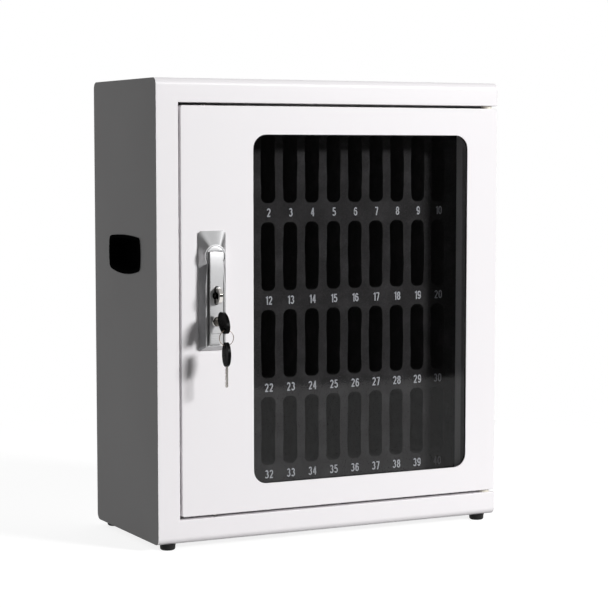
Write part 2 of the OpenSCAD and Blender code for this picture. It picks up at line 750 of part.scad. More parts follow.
case_wrap();
side_panel_left();
side_panel_right();
left_stile();
facia();
liner();
foam_row_1();
foam_row_2();
foam_row_3();
foam_row_4();
foam_pad();
carry_cup_left();
carry_cup_right();
foot_front_left();
foot_front_right();
foot_rear_left();
foot_rear_right();
foot_screws();
foot_nuts();
hinge_plate_top();
hinge_plate_bottom();
hinge_pin_top();
hinge_pin_bottom();
door_bumpers();
door_skin();
pane_gasket();
window_pane();
pane_retainer();
pane_studs();
pane_nuts();
hinge_bush_top();
hinge_bush_bottom();
rod_guides();
lock_housing();
handle_plate();
plate_screws();
spindle();
throw_cam();
cam_screw();
lift_pin();
handle_bar();
lock_barrel();
eye_seat();
padlock_eye();
lock_plug();
key_blade();
key_head();
key_ring();
spare_blade();
spare_head();
upper_rod();
lower_rod();
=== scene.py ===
"""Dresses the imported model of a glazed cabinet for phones: painted steel, foam, glass and metal."""

import json
import logging
import math
import random
from dataclasses import dataclass
from enum import Enum
from typing import Iterable, Sequence, Union

import bmesh
import bpy
from mathutils import Matrix, Quaternion, Vector


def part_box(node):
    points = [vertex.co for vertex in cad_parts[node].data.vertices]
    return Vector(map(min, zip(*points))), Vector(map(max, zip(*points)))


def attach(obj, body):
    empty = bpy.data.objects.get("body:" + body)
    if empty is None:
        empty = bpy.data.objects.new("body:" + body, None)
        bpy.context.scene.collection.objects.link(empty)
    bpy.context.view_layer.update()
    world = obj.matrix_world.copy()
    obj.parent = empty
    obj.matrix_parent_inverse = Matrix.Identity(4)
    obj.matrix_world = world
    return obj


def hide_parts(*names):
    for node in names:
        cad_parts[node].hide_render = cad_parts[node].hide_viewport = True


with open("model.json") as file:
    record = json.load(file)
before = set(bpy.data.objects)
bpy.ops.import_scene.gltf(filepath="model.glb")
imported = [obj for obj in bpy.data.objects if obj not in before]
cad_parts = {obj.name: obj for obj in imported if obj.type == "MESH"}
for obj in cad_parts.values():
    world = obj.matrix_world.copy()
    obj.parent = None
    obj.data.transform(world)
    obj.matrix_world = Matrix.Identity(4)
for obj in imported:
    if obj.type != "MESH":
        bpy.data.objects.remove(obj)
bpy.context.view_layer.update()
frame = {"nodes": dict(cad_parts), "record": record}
MM = 0.001
log = logging.getLogger("cabinet")

# Thickness of the steel sheet of case and door
SHEET = 1.2 * MM
# Radius of the sheet's sharp folds
FOLD = 0.8 * MM
# How far beside the handle's axis each locking rod runs
ROD_SIDE = 6.1 * MM
# How far a cutter reaches past the face that it cuts
PAST = 1 * MM
# Straight pieces in the circle of the handle plate's bay
BAY_STEPS = 40
WHITE_LIGHT = (1.0, 1.0, 1.0, 1.0)

Colour = tuple[float, float, float]
Triple = tuple[float, float, float]
Point = tuple[float, float]


class Slot(Enum):
    """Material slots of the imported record."""

    WHITE = "white_paint"
    GREY = "grey_paint"
    DARK = "dark_paint"
    FOAM = "foam"
    BLACK = "black_plastic"
    KEY = "key_plastic"
    FOOT = "foot_rubber"
    SEAL = "seal"
    PANE = "pane"
    ZINC = "zinc"
    BRIGHT = "bright_metal"
    STEEL = "steel"
    BUSH = "bush_plastic"


class Body(Enum):
    """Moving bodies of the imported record."""

    CABINET = "cabinet"
    DOOR = "door"
    SPINDLE = "turning_spindle"
    BAR = "swing_bar"
    HASP = "hasp"
    KEY = "fitted_key"
    RING = "split_ring"
    SPARE = "spare_key"


class Wire:
    """A shader socket that joins in Python arithmetic by adding Math nodes."""

    def __init__(self, graph: "Graph", socket: bpy.types.NodeSocket) -> None:
        """Keeps the graph and its output socket."""
        self.graph = graph
        self.socket = socket

    def _math(self, operation: str, first: "Value", second: "Value") -> "Wire":
        """A Math node on two values."""
        return self.graph.node("ShaderNodeMath", {"operation": operation}, {0: first, 1: second})

    def __add__(self, other: "Value") -> "Wire":
        """This value plus another."""
        return self._math("ADD", self, other)

    def __sub__(self, other: "Value") -> "Wire":
        """This value less another."""
        return self._math("SUBTRACT", self, other)

    def __rsub__(self, other: "Value") -> "Wire":
        """Another value less this one."""
        return self._math("SUBTRACT", other, self)

    def __mul__(self, other: "Value") -> "Wire":
        """This value times another."""
        return self._math("MULTIPLY", self, other)

    __radd__ = __add__
    __rmul__ = __mul__


Value = Union[Wire, float, tuple]


class Graph:
    """A node tree that is written as expressions."""

    def __init__(self, tree: bpy.types.NodeTree) -> None:
        """Starts from an empty tree."""
        self.tree = tree
        tree.nodes.clear()

    def node(self, kind: str, settings: dict | None = None, sockets: dict | None = None,
             out: int | str = 0) -> Wire:
        """Adds one node.

        Args:
            kind: The node's type.
            settings: Its properties; "stops" holds a ramp's (position, grey) pairs.
            sockets: Values or wires for its inputs, by name or number.
            out: The output that is wanted.

        Returns:
            The wanted output.
        """
        made = self.tree.nodes.new(kind)
        for key, value in (settings or {}).items():
            if key == "stops":
                self._set_stops(made.color_ramp, value)
            else:
                setattr(made, key, value)
        for key, value in (sockets or {}).items():
            if isinstance(value, Wire):
                self.tree.links.new(value.socket, made.inputs[key])
            else:
                made.inputs[key].default_value = value
        return Wire(self, made.outputs[out]) if len(made.outputs) else Wire(self, None)

    @staticmethod
    def _set_stops(ramp: bpy.types.ColorRamp, stops: Sequence[Point]) -> None:
        """Writes a ramp's stops as greys.

        Args:
            ramp: The ramp, with the two stops that it starts with.
            stops: The (position, grey) pairs.
        """
        while len(ramp.elements) < len(stops):
            ramp.elements.new(1.0)
        for element, (position, grey) in zip(ramp.elements, stops):
            element.position = position
            element.color = (grey, grey, grey, 1.0)

    def place(self, scale: Colour = (1.0, 1.0, 1.0)) -> Wire:
        """The surface's own coordinates in metres.

        Args:
            scale: How much each of them is stretched.

        Returns:
            The coordinates.
        """
        own = self.node("ShaderNodeTexCoord", out="Object")
        if scale == (1.0, 1.0, 1.0):
            return own
        return self.node("ShaderNodeMapping", None, {"Vector": own, "Scale": scale})

    def noise(self, where: Wire, scale: float, detail: float = 2.0, rough: float = 0.5) -> Wire:
        """Smooth noise from 0 to 1."""
        return self.node("ShaderNodeTexNoise", None,
                         {"Vector": where, "Scale": scale, "Detail": detail, "Roughness": rough}, "Fac")

    def ramp(self, value: Wire, *stops: Point) -> Wire:
        """A value sent through a grey ramp."""
        return self.node("ShaderNodeValToRGB", {"stops": stops}, {"Fac": value})

    def blend(self, share: Value, first: Colour, second: Colour) -> Wire:
        """A colour between two colours."""
        return self.node("ShaderNodeMix", {"data_type": "RGBA"},
                         {0: share, 6: (*first, 1.0), 7: (*second, 1.0)}, 2)

    def bump(self, height: Wire, depth: float, strength: float = 1.0) -> Wire:
        """A normal from a height between 0 and 1 that stands for depth in metres."""
        return self.node("ShaderNodeBump", None,
                         {"Height": height, "Distance": depth, "Strength": strength})

    def outputs(self, kind: str, names: Sequence[str], sockets: dict | None = None) -> list[Wire]:
        """Adds one node and gives several of its outputs.

        Args:
            kind: The node's type.
            names: The outputs that are wanted.
            sockets: Values or wires for its inputs.

        Returns:
            The wanted outputs.
        """
        made = self.node(kind, None, sockets).socket.node
        return [Wire(self, made.outputs[name]) for name in names]

    def shown(self) -> Wire:
        """Tells the rays that show a thing to the lens: straight, mirrored or through glass.

        Returns:
            1 for such a ray and 0 for the others.
        """
        straight, mirrored, through = self.outputs(
            "ShaderNodeLightPath", ("Is Camera Ray", "Is Glossy Ray", "Is Transmission Ray"))
        return straight + mirrored + through

    def eased(self, value: Wire, start: float, end: float, low: float = 0.0, high: float = 1.0) -> Wire:
        """A value that eases from low at start to high at end."""
        return self.node("ShaderNodeMapRange", {"interpolation_type": "SMOOTHSTEP"},
                         {"Value": value, "From Min": start, "From Max": end, "To Min": low, "To Max": high})

    def glow(self, strength: Value, kind: str = "ShaderNodeEmission") -> Wire:
        """White light of a strength, from a surface or from the world."""
        return self.node(kind, None, {"Color": WHITE_LIGHT, "Strength": strength})

    def surface(self, sockets: dict) -> None:
        """Ends the tree in one Principled shader."""
        shader = self.node("ShaderNodeBsdfPrincipled", None, sockets)
        self.node("ShaderNodeOutputMaterial", None, {"Surface": shader})


class Finish:
    """A finish that can make its material."""

    def draw(self, graph: Graph) -> None:
        """Writes the finish's nodes."""
        raise NotImplementedError

    def material(self, name: str) -> bpy.types.Material:
        """Makes the finish's material.

        Args:
            name: The material's name.

        Returns:
            The material.
        """
        made = bpy.data.materials.new(name)
        made.use_nodes = True
        self.draw(Graph(made.node_tree))
        return made


@dataclass(frozen=True)
class PowderCoat(Finish):
    """Satin powder coat with a fine orange peel."""

    colour: Colour
    faded: Colour
    roughness: float = 0.42
    peel: float = 9e-6
    cloud_scale: float = 7.0
    peel_scale: float = 620.0
    grain_scale: float = 2400.0

    def draw(self, graph: Graph) -> None:
        """Broad faint clouds in the colour, and two sizes of peel in the bump.

        Args:
            graph: The material's empty tree.
        """
        where = graph.place()
        clouds = graph.noise(where, self.cloud_scale, 3.0)
        peel = graph.noise(where, self.peel_scale, 2.0)
        grain = graph.noise(where, self.grain_scale, 1.0)
        graph.surface({
            "Base Color": graph.blend(clouds, self.colour, self.faded),
            "Roughness": self.roughness + 0.08 * (clouds - 0.5) + 0.06 * (grain - 0.5),
            "Normal": graph.bump(0.7 * peel + 0.3 * grain, self.peel),
        })


@dataclass(frozen=True)
class CellFoam(Finish):
    """Closed-cell foam: matt, speckled, with fine open cells on its cut faces."""

    colour: Colour = (0.033, 0.032, 0.033)
    fleck: Colour = (0.11, 0.108, 0.112)
    cell_scale: float = 900.0
    fleck_scale: float = 1500.0
    dust_scale: float = 38.0
    cell_depth: float = 1.2e-4

    def draw(self, graph: Graph) -> None:
        """Cells in the bump, flecks and faint dusty patches in the colour.

        Args:
            graph: The material's empty tree.
        """
        where = graph.place()
        cells = graph.node("ShaderNodeTexVoronoi", {"feature": "F1"},
                           {"Vector": where, "Scale": self.cell_scale}, "Distance")
        speckle = graph.ramp(graph.noise(where, self.fleck_scale, 3.0, 0.7), (0.45, 0.0), (0.75, 1.0))
        dust = graph.ramp(graph.noise(where, self.dust_scale, 4.0, 0.6), (0.45, 0.0), (0.8, 1.0))
        graph.surface({
            "Base Color": graph.blend(0.55 * speckle + 0.35 * dust, self.colour, self.fleck),
            "Roughness": 0.92 - 0.1 * cells,
            "Specular IOR Level": 0.0,
            "Normal": graph.bump(cells + 0.6 * speckle, self.cell_depth, 0.8),
        })


@dataclass(frozen=True)
class Plastic(Finish):
    """Moulded plastic or rubber with a fine grain."""

    colour: Colour
    worn: Colour
    roughness: float = 0.38
    gloss: float = 0.3
    grain: float = 1.2e-5
    grain_scale: float = 1800.0
    rub_scale: float = 60.0

    def draw(self, graph: Graph) -> None:
        """Grain in the bump, and faint rubbed patches.

        Args:
            graph: The material's empty tree.
        """
        where = graph.place()
        grain = graph.noise(where, self.grain_scale, 2.0, 0.6)
        rubbed = graph.ramp(graph.noise(where, self.rub_scale, 3.0), (0.5, 0.0), (0.8, 1.0))
        graph.surface({
            "Base Color": graph.blend(rubbed, self.colour, self.worn),
            "Roughness": self.roughness + 0.1 * (grain - 0.5) - 0.06 * rubbed,
            "Specular IOR Level": self.gloss,
            "Normal": graph.bump(grain, self.grain),
        })


@dataclass(frozen=True)
class Metal(Finish):
    """Plated or brushed metal."""

    colour: Colour
    tarnish: Colour
    roughness: float = 0.3
    brush: Triple = (1.0, 1.0, 1.0)
    depth: float = 3e-6
    grain_scale: float = 1400.0
    wear_scale: float = 90.0

    def draw(self, graph: Graph) -> None:
        """Fine lines or grain in bump and gloss, and cloudy wear in the colour.

        Args:
            graph: The material's empty tree.
        """
        where = graph.place(self.brush)
        grain = graph.noise(where, self.grain_scale, 2.0, 0.6)
        wear = graph.noise(graph.place(), self.wear_scale, 3.0, 0.6)
        worn = graph.ramp(wear, (0.4, 0.0), (0.8, 1.0))
        graph.surface({
            "Base Color": graph.blend(worn, self.colour, self.tarnish),
            "Metallic": 1.0,
            "Roughness": self.roughness + 0.16 * (grain - 0.5) + 0.1 * (wear - 0.5),
            "Normal": graph.bump(grain, self.depth),
        })


@dataclass(frozen=True)
class Pane(Finish):
    """Clear sheet with a light smoke tint: most light passes, and a little is mirrored."""

    cover: float = 0.15
    index: float = 1.82
    smear_scale: float = 24.0
    smear_stretch: Triple = (1.0, 1.0, 0.3)

    def draw(self, graph: Graph) -> None:
        """A black gloss that covers part of what is behind it, with faint smears.

        Args:
            graph: The material's empty tree.
        """
        smears = graph.noise(graph.place(self.smear_stretch), self.smear_scale, 3.0, 0.6)
        graph.surface({
            "Base Color": (0.004, 0.004, 0.004, 1.0),
            "Roughness": 0.02 + 0.03 * smears,
            "IOR": self.index,
            "Alpha": self.cover,
        })


@dataclass(frozen=True)
class Print(Finish):
    """Screen print that lets a little of the foam's grain through."""

    colour: Colour = (0.68, 0.7, 0.75)
    thin: Colour = (0.46, 0.48, 0.52)
    spot_scale: float = 1300.0
    spot_depth: float = 2e-5

    def draw(self, graph: Graph) -> None:
        """Print with small thin spots.

        Args:
            graph: The material's empty tree.
        """
        spots = graph.ramp(graph.noise(graph.place(), self.spot_scale), (0.5, 0.0), (0.75, 1.0))
        graph.surface({
            "Base Color": graph.blend(spots, self.colour, self.thin),
            "Roughness": 0.6 + 0.2 * spots,
            "Normal": graph.bump(spots, self.spot_depth),
        })


@dataclass(frozen=True)
class Table(Finish):
    """White table top, which reads as plain white to the lens and keeps soft shadows."""

    lift: float = 0.84
    near: float = 0.45
    far: float = 0.95
    colour: Colour = (0.27, 0.27, 0.27)
    light: Colour = (0.29, 0.29, 0.29)
    grain_scale: float = 300.0

    def draw(self, graph: Graph) -> None:
        """Diffuse white; rays that show the table get a lift, which is whole far away.

        Args:
            graph: The material's empty tree.
        """
        where = graph.place()
        reach = graph.node("ShaderNodeVectorMath", {"operation": "LENGTH"}, {0: where}, "Value")
        away = graph.eased(reach, self.near, self.far)
        grain = graph.noise(where, self.grain_scale)
        plain = graph.node("ShaderNodeBsdfDiffuse", None,
                           {"Color": graph.blend(grain, self.colour, self.light)})
        lifted = graph.node("ShaderNodeAddShader", None, {0: plain, 1: graph.glow(self.lift)})
        to_lens = graph.node("ShaderNodeMixShader", None, {0: away, 1: lifted, 2: graph.glow(1.0)})
        both = graph.node("ShaderNodeMixShader", None, {0: graph.shown(), 1: plain, 2: to_lens})
        graph.node("ShaderNodeOutputMaterial", None, {"Surface": both})


@dataclass(frozen=True)
class Room(Finish):
    """Unlit studio that gloss shows: dark ahead, dim on the left, grey towards the ceiling."""

    ahead: float = 0.008
    left: float = 0.055
    left_span: Point = (-0.35, -0.85)
    ceiling: float = 0.55
    ceiling_span: Point = (0.16, 0.66)

    def draw(self, graph: Graph) -> None:
        """A glow that depends on the direction from the cabinet.

        Args:
            graph: The material's empty tree.
        """
        way = graph.node("ShaderNodeVectorMath", {"operation": "NORMALIZE"}, {0: graph.place()}, "Vector")
        across, up = graph.outputs("ShaderNodeSeparateXYZ", ("X", "Z"), {0: way})
        left = graph.eased(across, *self.left_span, high=self.left)
        above = graph.eased(up, *self.ceiling_span, high=self.ceiling)
        graph.node("ShaderNodeOutputMaterial", None, {"Surface": graph.glow(self.ahead + left + above)})


class Palette:
    """All finishes of the cabinet, each made once."""

    RECIPES = {
        Slot.WHITE: PowderCoat((0.83, 0.805, 0.825), (0.845, 0.825, 0.84)),
        Slot.GREY: PowderCoat((0.08, 0.078, 0.078), (0.09, 0.087, 0.087), 0.5, 1.2e-5),
        Slot.DARK: PowderCoat((0.5, 0.5, 0.505), (0.52, 0.52, 0.525), 0.45, 1.2e-5),
        Slot.FOAM: CellFoam(),
        Slot.BLACK: Plastic((0.002, 0.002, 0.002), (0.004, 0.004, 0.004), 0.7, 0.0),
        Slot.KEY: Plastic((0.002, 0.002, 0.002), (0.004, 0.004, 0.004), 0.28, 0.04, 4e-6),
        Slot.FOOT: Plastic((0.008, 0.008, 0.008), (0.014, 0.014, 0.014), 0.6, 0.2, 2e-5),
        Slot.SEAL: Plastic((0.006, 0.006, 0.006), (0.012, 0.012, 0.012), 0.7, 0.2, 2e-5),
        Slot.PANE: Pane(),
        Slot.ZINC: Metal((0.44, 0.44, 0.445), (0.4, 0.4, 0.405), 0.4),
        Slot.BRIGHT: Metal((0.78, 0.76, 0.73), (0.6, 0.57, 0.52), 0.1),
        Slot.STEEL: Metal((0.52, 0.5, 0.47), (0.4, 0.38, 0.34), 0.24, (1.0, 1.0, 0.08)),
        Slot.BUSH: Plastic((0.72, 0.69, 0.6), (0.66, 0.62, 0.52), 0.4),
    }

    def __init__(self) -> None:
        """Makes the materials."""
        self.made = {slot: recipe.material(slot.value) for slot, recipe in self.RECIPES.items()}
        self.print = Print().material("slot_print")
        # A darker copy of the zinc: painted shade for the handle plate's side flanks, standing in for the dim
        # room they mirror
        self.flank = Metal((0.22, 0.22, 0.225), (0.19, 0.19, 0.195), 0.36).material("zinc_flank_shade")
        self.bronze = Metal((0.42, 0.33, 0.26), (0.3, 0.23, 0.18), 0.25).material("ring_bronze")
        self.own = {"liner": PowderCoat((0.78, 0.78, 0.79), (0.8, 0.8, 0.81), 0.5).material("liner_paint")}

    def dress_frame(self, record: dict) -> None:
        """Gives every CAD node the finish of its slot.

        Args:
            record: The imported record, which names each node's slot.
        """
        slots = {part["node"]: Slot(part["material_slot"]) for part in record["subparts"]}
        for name, node in frame["nodes"].items():
            finish = self.own.get(name, self.made[slots[name]])
            if not node.material_slots:
                node.data.materials.append(finish)
            for place in node.material_slots:
                place.material = finish


def middle(node: str) -> Vector:
    """Centre of a CAD node's box."""
    low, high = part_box(node)
    return (low + high) / 2


def rod_place(node: str) -> Point:
    """Where a locking rod stands in X and Y: the upper one left of the handle's axis, the lower right."""
    side = -ROD_SIDE if node == "upper_rod" else ROD_SIDE
    return middle("spindle").x + side, middle(node).y


def millimetres(*points: Point) -> tuple[Point, ...]:
    """Points that are written in millimetres, in metres."""
    return tuple((first * MM, second * MM) for first, second in points)


def rounded(width: float, height: float, radius: float, steps: int = 8) -> list[Point]:
    """Outline of a centred rectangle with round corners.

    Args:
        width: Size along the first axis.
        height: Size along the second axis.
        radius: Corner radius.
        steps: Straight pieces in each corner.

    Returns:
        The outline's points, anticlockwise from the right.
    """
    points = []
    for quarter, (across, up) in enumerate(((1, 1), (-1, 1), (-1, -1), (1, -1))):
        for step in range(steps + 1):
            angle = math.pi / 2 * (quarter + step / steps)
            points.append((across * (width / 2 - radius) + radius * math.cos(angle),
                           up * (height / 2 - radius) + radius * math.sin(angle)))
    return points


def arched(width: float, height: float, side: float, top: float, foot: float, corner: float,
           side_steps: int = 12, corner_steps: int = 5) -> list[Point]:
    """Outline with four sides that bulge outwards between small round corners.

    Args:
        width: Full size along the first axis.
        height: Full size along the second axis.
        side: How far the left and right sides bulge.
        top: How far the upper side bulges.
        foot: How far the lower side bulges.
        corner: Length of each side that a corner takes.
        side_steps: Straight pieces in each side.
        corner_steps: Straight pieces in each corner.

    Returns:
        The outline's points.
    """
    across, low, high = width / 2 - side, foot - height / 2, height / 2 - top
    corners = [Vector(c) for c in ((across, high), (-across, high), (-across, low), (across, low))]
    bulges = [Vector(b) for b in ((0, top), (-side, 0), (0, -foot), (side, 0))]

    def on_side(k: int, share: float) -> Vector:
        """The point on side k at a share of its length."""
        start, end = corners[k % 4], corners[(k + 1) % 4]
        return start.lerp(end, share) + bulges[k % 4] * 4 * share * (1 - share)

    points = []
    for k in range(4):
        margin = corner / (corners[(k + 1) % 4] - corners[k]).length
        after = corner / (corners[(k + 2) % 4] - corners[(k + 1) % 4]).length
        points += [on_side(k, margin + (1 - 2 * margin) * i / side_steps) for i in range(side_steps + 1)]
        start, end = on_side(k, 1 - margin), on_side(k + 1, after)
        for i in range(1, corner_steps):
            u = i / corner_steps
            points.append(start * (1 - u) ** 2 + corners[(k + 1) % 4] * 2 * u * (1 - u) + end * u ** 2)
    return [tuple(point) for point in points]


def oval(width: float, height: float, count: int, lean: float = 0.0) -> list[Point]:
    """Oval within a width and a height.

    Args:
        width: Full size along the first axis.
        height: Full size along the second axis.
        count: How many points it has.
        lean: How far its long axis leans, from -1 to 1.

    Returns:
        The oval's points.
    """
    shift = math.asin(lean)
    turns = [2 * math.pi * i / count for i in range(count)]
    return [(width / 2 * math.cos(t), height / 2 * math.sin(t + shift)) for t in turns]


def bay(radius: float, neck: float, half: float, flare: float, bottom: float, corner: float,
        corner_steps: int = 4) -> list[Point]:
    """Outline of a circle that runs down into a strip, which widens below a neck.

    Args:
        radius: The circle's radius.
        neck: Half the strip's width at the circle.
        half: Half the strip's full width.
        flare: Height where the full width starts.
        bottom: Height of the strip's end, below the circle.
        corner: Radius of the end's corners.
        corner_steps: Straight pieces in each of them.

    Returns:
        The outline's points: the circle, the left side, both corners and the right side.
    """
    start = -math.acos(neck / radius)
    sweep = math.pi - 2 * start
    turns = [start + sweep * i / BAY_STEPS for i in range(BAY_STEPS + 1)]
    points = [(radius * math.cos(t), radius * math.sin(t)) for t in turns]
    turns = [math.pi / 2 * i / corner_steps for i in range(corner_steps + 1)]
    left = [(corner - half - corner * math.cos(t), bottom + corner - corner * math.sin(t)) for t in turns]
    right = [(-x, z) for x, z in reversed(left)]
    return points + [(-half, flare)] + left + right + [(half, flare)]


def ring(bm: bmesh.types.BMesh, points: Iterable[Sequence[float]]) -> list[bmesh.types.BMEdge]:
    """Closed loop of edges through points."""
    verts = [bm.verts.new(point) for point in points]
    return [bm.edges.new(pair) for pair in zip(verts, verts[1:] + verts[:1])]


def loft(bm: bmesh.types.BMesh, loops: Sequence[Iterable[Sequence[float]]],
         start: bool = False, end: bool = False, joined: bool = False) -> None:
    """Skins a row of loops.

    Args:
        bm: The mesh that gets the skin.
        loops: The loops, all with as many points.
        start: Closes the first loop with a face.
        end: Closes the last loop with a face.
        joined: Skins from the last loop back to the first.
    """
    rings = [ring(bm, loop) for loop in loops]
    for low, high in zip(rings, rings[1:] + (rings[:1] if joined else [])):
        bmesh.ops.bridge_loops(bm, edges=low + high)
    for edges, wanted in ((rings[0], start), (rings[-1], end)):
        if wanted:
            bmesh.ops.edgeloop_fill(bm, edges=edges)


def draw_out(bm: bmesh.types.BMesh, extruded: dict, way: Sequence[float]) -> None:
    """Moves what an extrusion made.

    Args:
        bm: The mesh.
        extruded: What the extrusion gave back.
        way: Where it goes.
    """
    verts = [new for new in extruded["geom"] if isinstance(new, bmesh.types.BMVert)]
    bmesh.ops.translate(bm, vec=Vector(way), verts=verts)


def soften(bm: bmesh.types.BMesh, edges: Sequence[bmesh.types.BMEdge], width: float, segments: int) -> None:
    """Rounds some edges.

    Args:
        bm: The mesh.
        edges: The edges.
        width: How far each rounding reaches.
        segments: Faces across a rounding.
    """
    bmesh.ops.bevel(bm, geom=edges, offset=width, segments=segments, profile=0.5, affect="EDGES",
                    material=-1, clamp_overlap=True)


def folds(bm: bmesh.types.BMesh, least: float = 1.0) -> list[bmesh.types.BMEdge]:
    """Edges whose faces meet at more than an angle in radians."""
    return [edge for edge in bm.edges if edge.calc_face_angle(0) > least]


def face_along(bm: bmesh.types.BMesh, direction: Sequence[float]) -> None:
    """Turns an open sheet.

    Args:
        bm: The sheet.
        direction: Where its largest face shall look.
    """
    bmesh.ops.recalc_face_normals(bm, faces=bm.faces[:])
    largest = max(bm.faces, key=lambda face: face.calc_area())
    if largest.normal.dot(Vector(direction)) < 0:
        bmesh.ops.reverse_faces(bm, faces=bm.faces[:])


def face_out(bm: bmesh.types.BMesh) -> None:
    """Merges doubles and turns the faces of closed shells outwards."""
    bmesh.ops.remove_doubles(bm, verts=bm.verts[:], dist=1e-7)
    bmesh.ops.recalc_face_normals(bm, faces=bm.faces[:])


def folded(path: Sequence[tuple[Sequence[float], float]], way: Sequence[float],
           segments: int = 6) -> bmesh.types.BMesh:
    """Sheet that follows a path with rounded corners.

    Args:
        path: Corners of the path, each with its bend radius, 0 at a sharp one or at an end.
        way: The vector that the path is drawn out along.
        segments: Straight pieces in each bend.

    Returns:
        The sheet, without thickness.
    """
    bm = bmesh.new()
    verts = [bm.verts.new(corner) for corner, _ in path]
    bends = {}
    for vert, (_, radius) in zip(verts, path):
        bends.setdefault(radius, []).append(vert)
    for pair in zip(verts, verts[1:]):
        bm.edges.new(pair)
    for radius, corners in bends.items():
        if radius:
            bmesh.ops.bevel(bm, geom=corners, offset=radius, segments=segments, profile=0.5,
                            affect="VERTICES", material=-1)
    draw_out(bm, bmesh.ops.extrude_edge_only(bm, edges=bm.edges[:]), way)
    return bm


def turned(bm: bmesh.types.BMesh, profile: Sequence[Point], foot: Sequence[float],
           axis: Sequence[float], steps: int = 40) -> None:
    """Turns a profile round an axis.

    Args:
        bm: The mesh that gets the shape.
        profile: Points as (radius, distance along the axis).
        foot: The point on the axis where distances start.
        axis: Unit vector of the axis.
        steps: Straight pieces in a turn.
    """
    along = Vector(axis)
    out = along.orthogonal().normalized()
    verts = [bm.verts.new(Vector(foot) + out * radius + along * rise) for radius, rise in profile]
    edges = [bm.edges.new(pair) for pair in zip(verts, verts[1:])]
    bmesh.ops.spin(bm, geom=verts + edges, cent=Vector(foot), axis=along, angle=2 * math.pi,
                   steps=steps, use_merge=True)
    face_out(bm)


def rod(bm: bmesh.types.BMesh, start: Sequence[float], end: Sequence[float], radius: float,
        steps: int = 32) -> None:
    """Adds a closed cylinder.

    Args:
        bm: The mesh that gets it.
        start: Centre of one end.
        end: Centre of the other end.
        radius: Its radius.
        steps: Sides of the cylinder.
    """
    low, high = Vector(start), Vector(end)
    turn = (high - low).to_track_quat("Z", "Y").to_matrix().to_4x4()
    bmesh.ops.create_cone(bm, cap_ends=True, segments=steps, radius1=radius, radius2=radius,
                          depth=(high - low).length, matrix=Matrix.Translation((low + high) / 2) @ turn)


def upright_cut(bm: bmesh.types.BMesh, place: Point, height: float, radius: float, reach: float) -> None:
    """Adds an upright cutter.

    Args:
        bm: The mesh that gets it.
        place: Where it stands in X and Y.
        height: Height of its middle.
        radius: Its radius.
        reach: How far it goes above and below its middle.
    """
    rod(bm, (*place, height - reach), (*place, height + reach), radius)


def box(bm: bmesh.types.BMesh, low: Sequence[float], high: Sequence[float]) -> None:
    """Adds a closed box, which is inside out where low lies past high along one axis.

    Args:
        bm: The mesh that gets it.
        low: One corner.
        high: The corner across from it.
    """
    low, high = Vector(low), Vector(high)
    size = Matrix.Diagonal((*(high - low), 1.0))
    bmesh.ops.create_cube(bm, size=1.0, matrix=Matrix.Translation((low + high) / 2) @ size)


def evaluated(piece: bpy.types.Object) -> bpy.types.Mesh:
    """The mesh of a piece with its modifiers applied."""
    graph = bpy.context.evaluated_depsgraph_get()
    return bpy.data.meshes.new_from_object(piece.evaluated_get(graph), depsgraph=graph)


def linked(name: str, bm: bmesh.types.BMesh) -> bpy.types.Object:
    """Makes an object and links it to the scene.

    Args:
        name: Its name.
        bm: Its mesh, which is used up.

    Returns:
        The object.
    """
    mesh = bpy.data.meshes.new(name)
    bm.to_mesh(mesh)
    bm.free()
    made = bpy.data.objects.new(name, mesh)
    bpy.context.scene.collection.objects.link(made)
    return made


@dataclass
class Maker:
    """Turns meshes into finished pieces that ride on the frame's bodies."""

    palette: Palette
    crisp_margin: float = 5.0

    def piece(self, name: str, bm: bmesh.types.BMesh, slot: Slot, body: Body, nodes: Sequence[str] = (),
              sheet: float = 0.0, edge: float = 0.0, segments: int = 3, angle: float = 35.0,
              holes: bmesh.types.BMesh | None = None, centred: bool = False,
              material: bpy.types.Material | None = None) -> bpy.types.Object:
        """Finishes one piece.

        Args:
            name: The piece's name.
            bm: Its mesh, which is used up.
            slot: The material slot of its finish.
            body: The body that it rides on.
            nodes: The CAD nodes that it stands for.
            sheet: Wall thickness that is added inwards, in metres.
            edge: Width of its soft edges, in metres.
            segments: Faces across a soft edge.
            angle: Edges sharper than this, in degrees, are softened and kept crisp.
            holes: Mesh that is cut out of the piece, which is used up.
            centred: Puts the wall on both sides of the sheet instead of inwards.
            material: Its material, if that isn't the slot's.

        Returns:
            The piece.
        """
        made = linked(name, bm)
        made.data.shade_smooth()
        if sheet:
            wall = made.modifiers.new("wall", "SOLIDIFY")
            wall.thickness = sheet
            wall.offset = 0.0 if centred else -1.0
            wall.use_even_offset = True
        if edge:
            soft = made.modifiers.new("soft", "BEVEL")
            soft.width = edge
            soft.segments = segments
            soft.limit_method = "ANGLE"
            soft.angle_limit = math.radians(angle)
            soft.use_clamp_overlap = True
        cutter = linked(name + "_holes", holes) if holes else None
        if cutter:
            cut = made.modifiers.new("cut", "BOOLEAN")
            cut.operation = "DIFFERENCE"
            cut.solver = "EXACT"
            cut.object = cutter
            cut.use_self = True
        first, rough = evaluated(made), made.data
        made.modifiers.clear()
        made.data = first
        first.set_sharp_from_angle(angle=math.radians(angle + self.crisp_margin))
        made.modifiers.new("flats", "WEIGHTED_NORMAL").keep_sharp = True
        made.data = evaluated(made)
        made.modifiers.clear()
        for spare in (rough, first):
            bpy.data.meshes.remove(spare)
        if cutter:
            bpy.data.meshes.remove(cutter.data)
        made.data.name = name
        made.data.materials.clear()
        made.data.materials.append(material or self.palette.made[slot])
        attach(made, body.value)
        if nodes:
            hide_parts(*nodes)
        log.info("%s: %d faces", name, len(made.data.polygons))
        return made


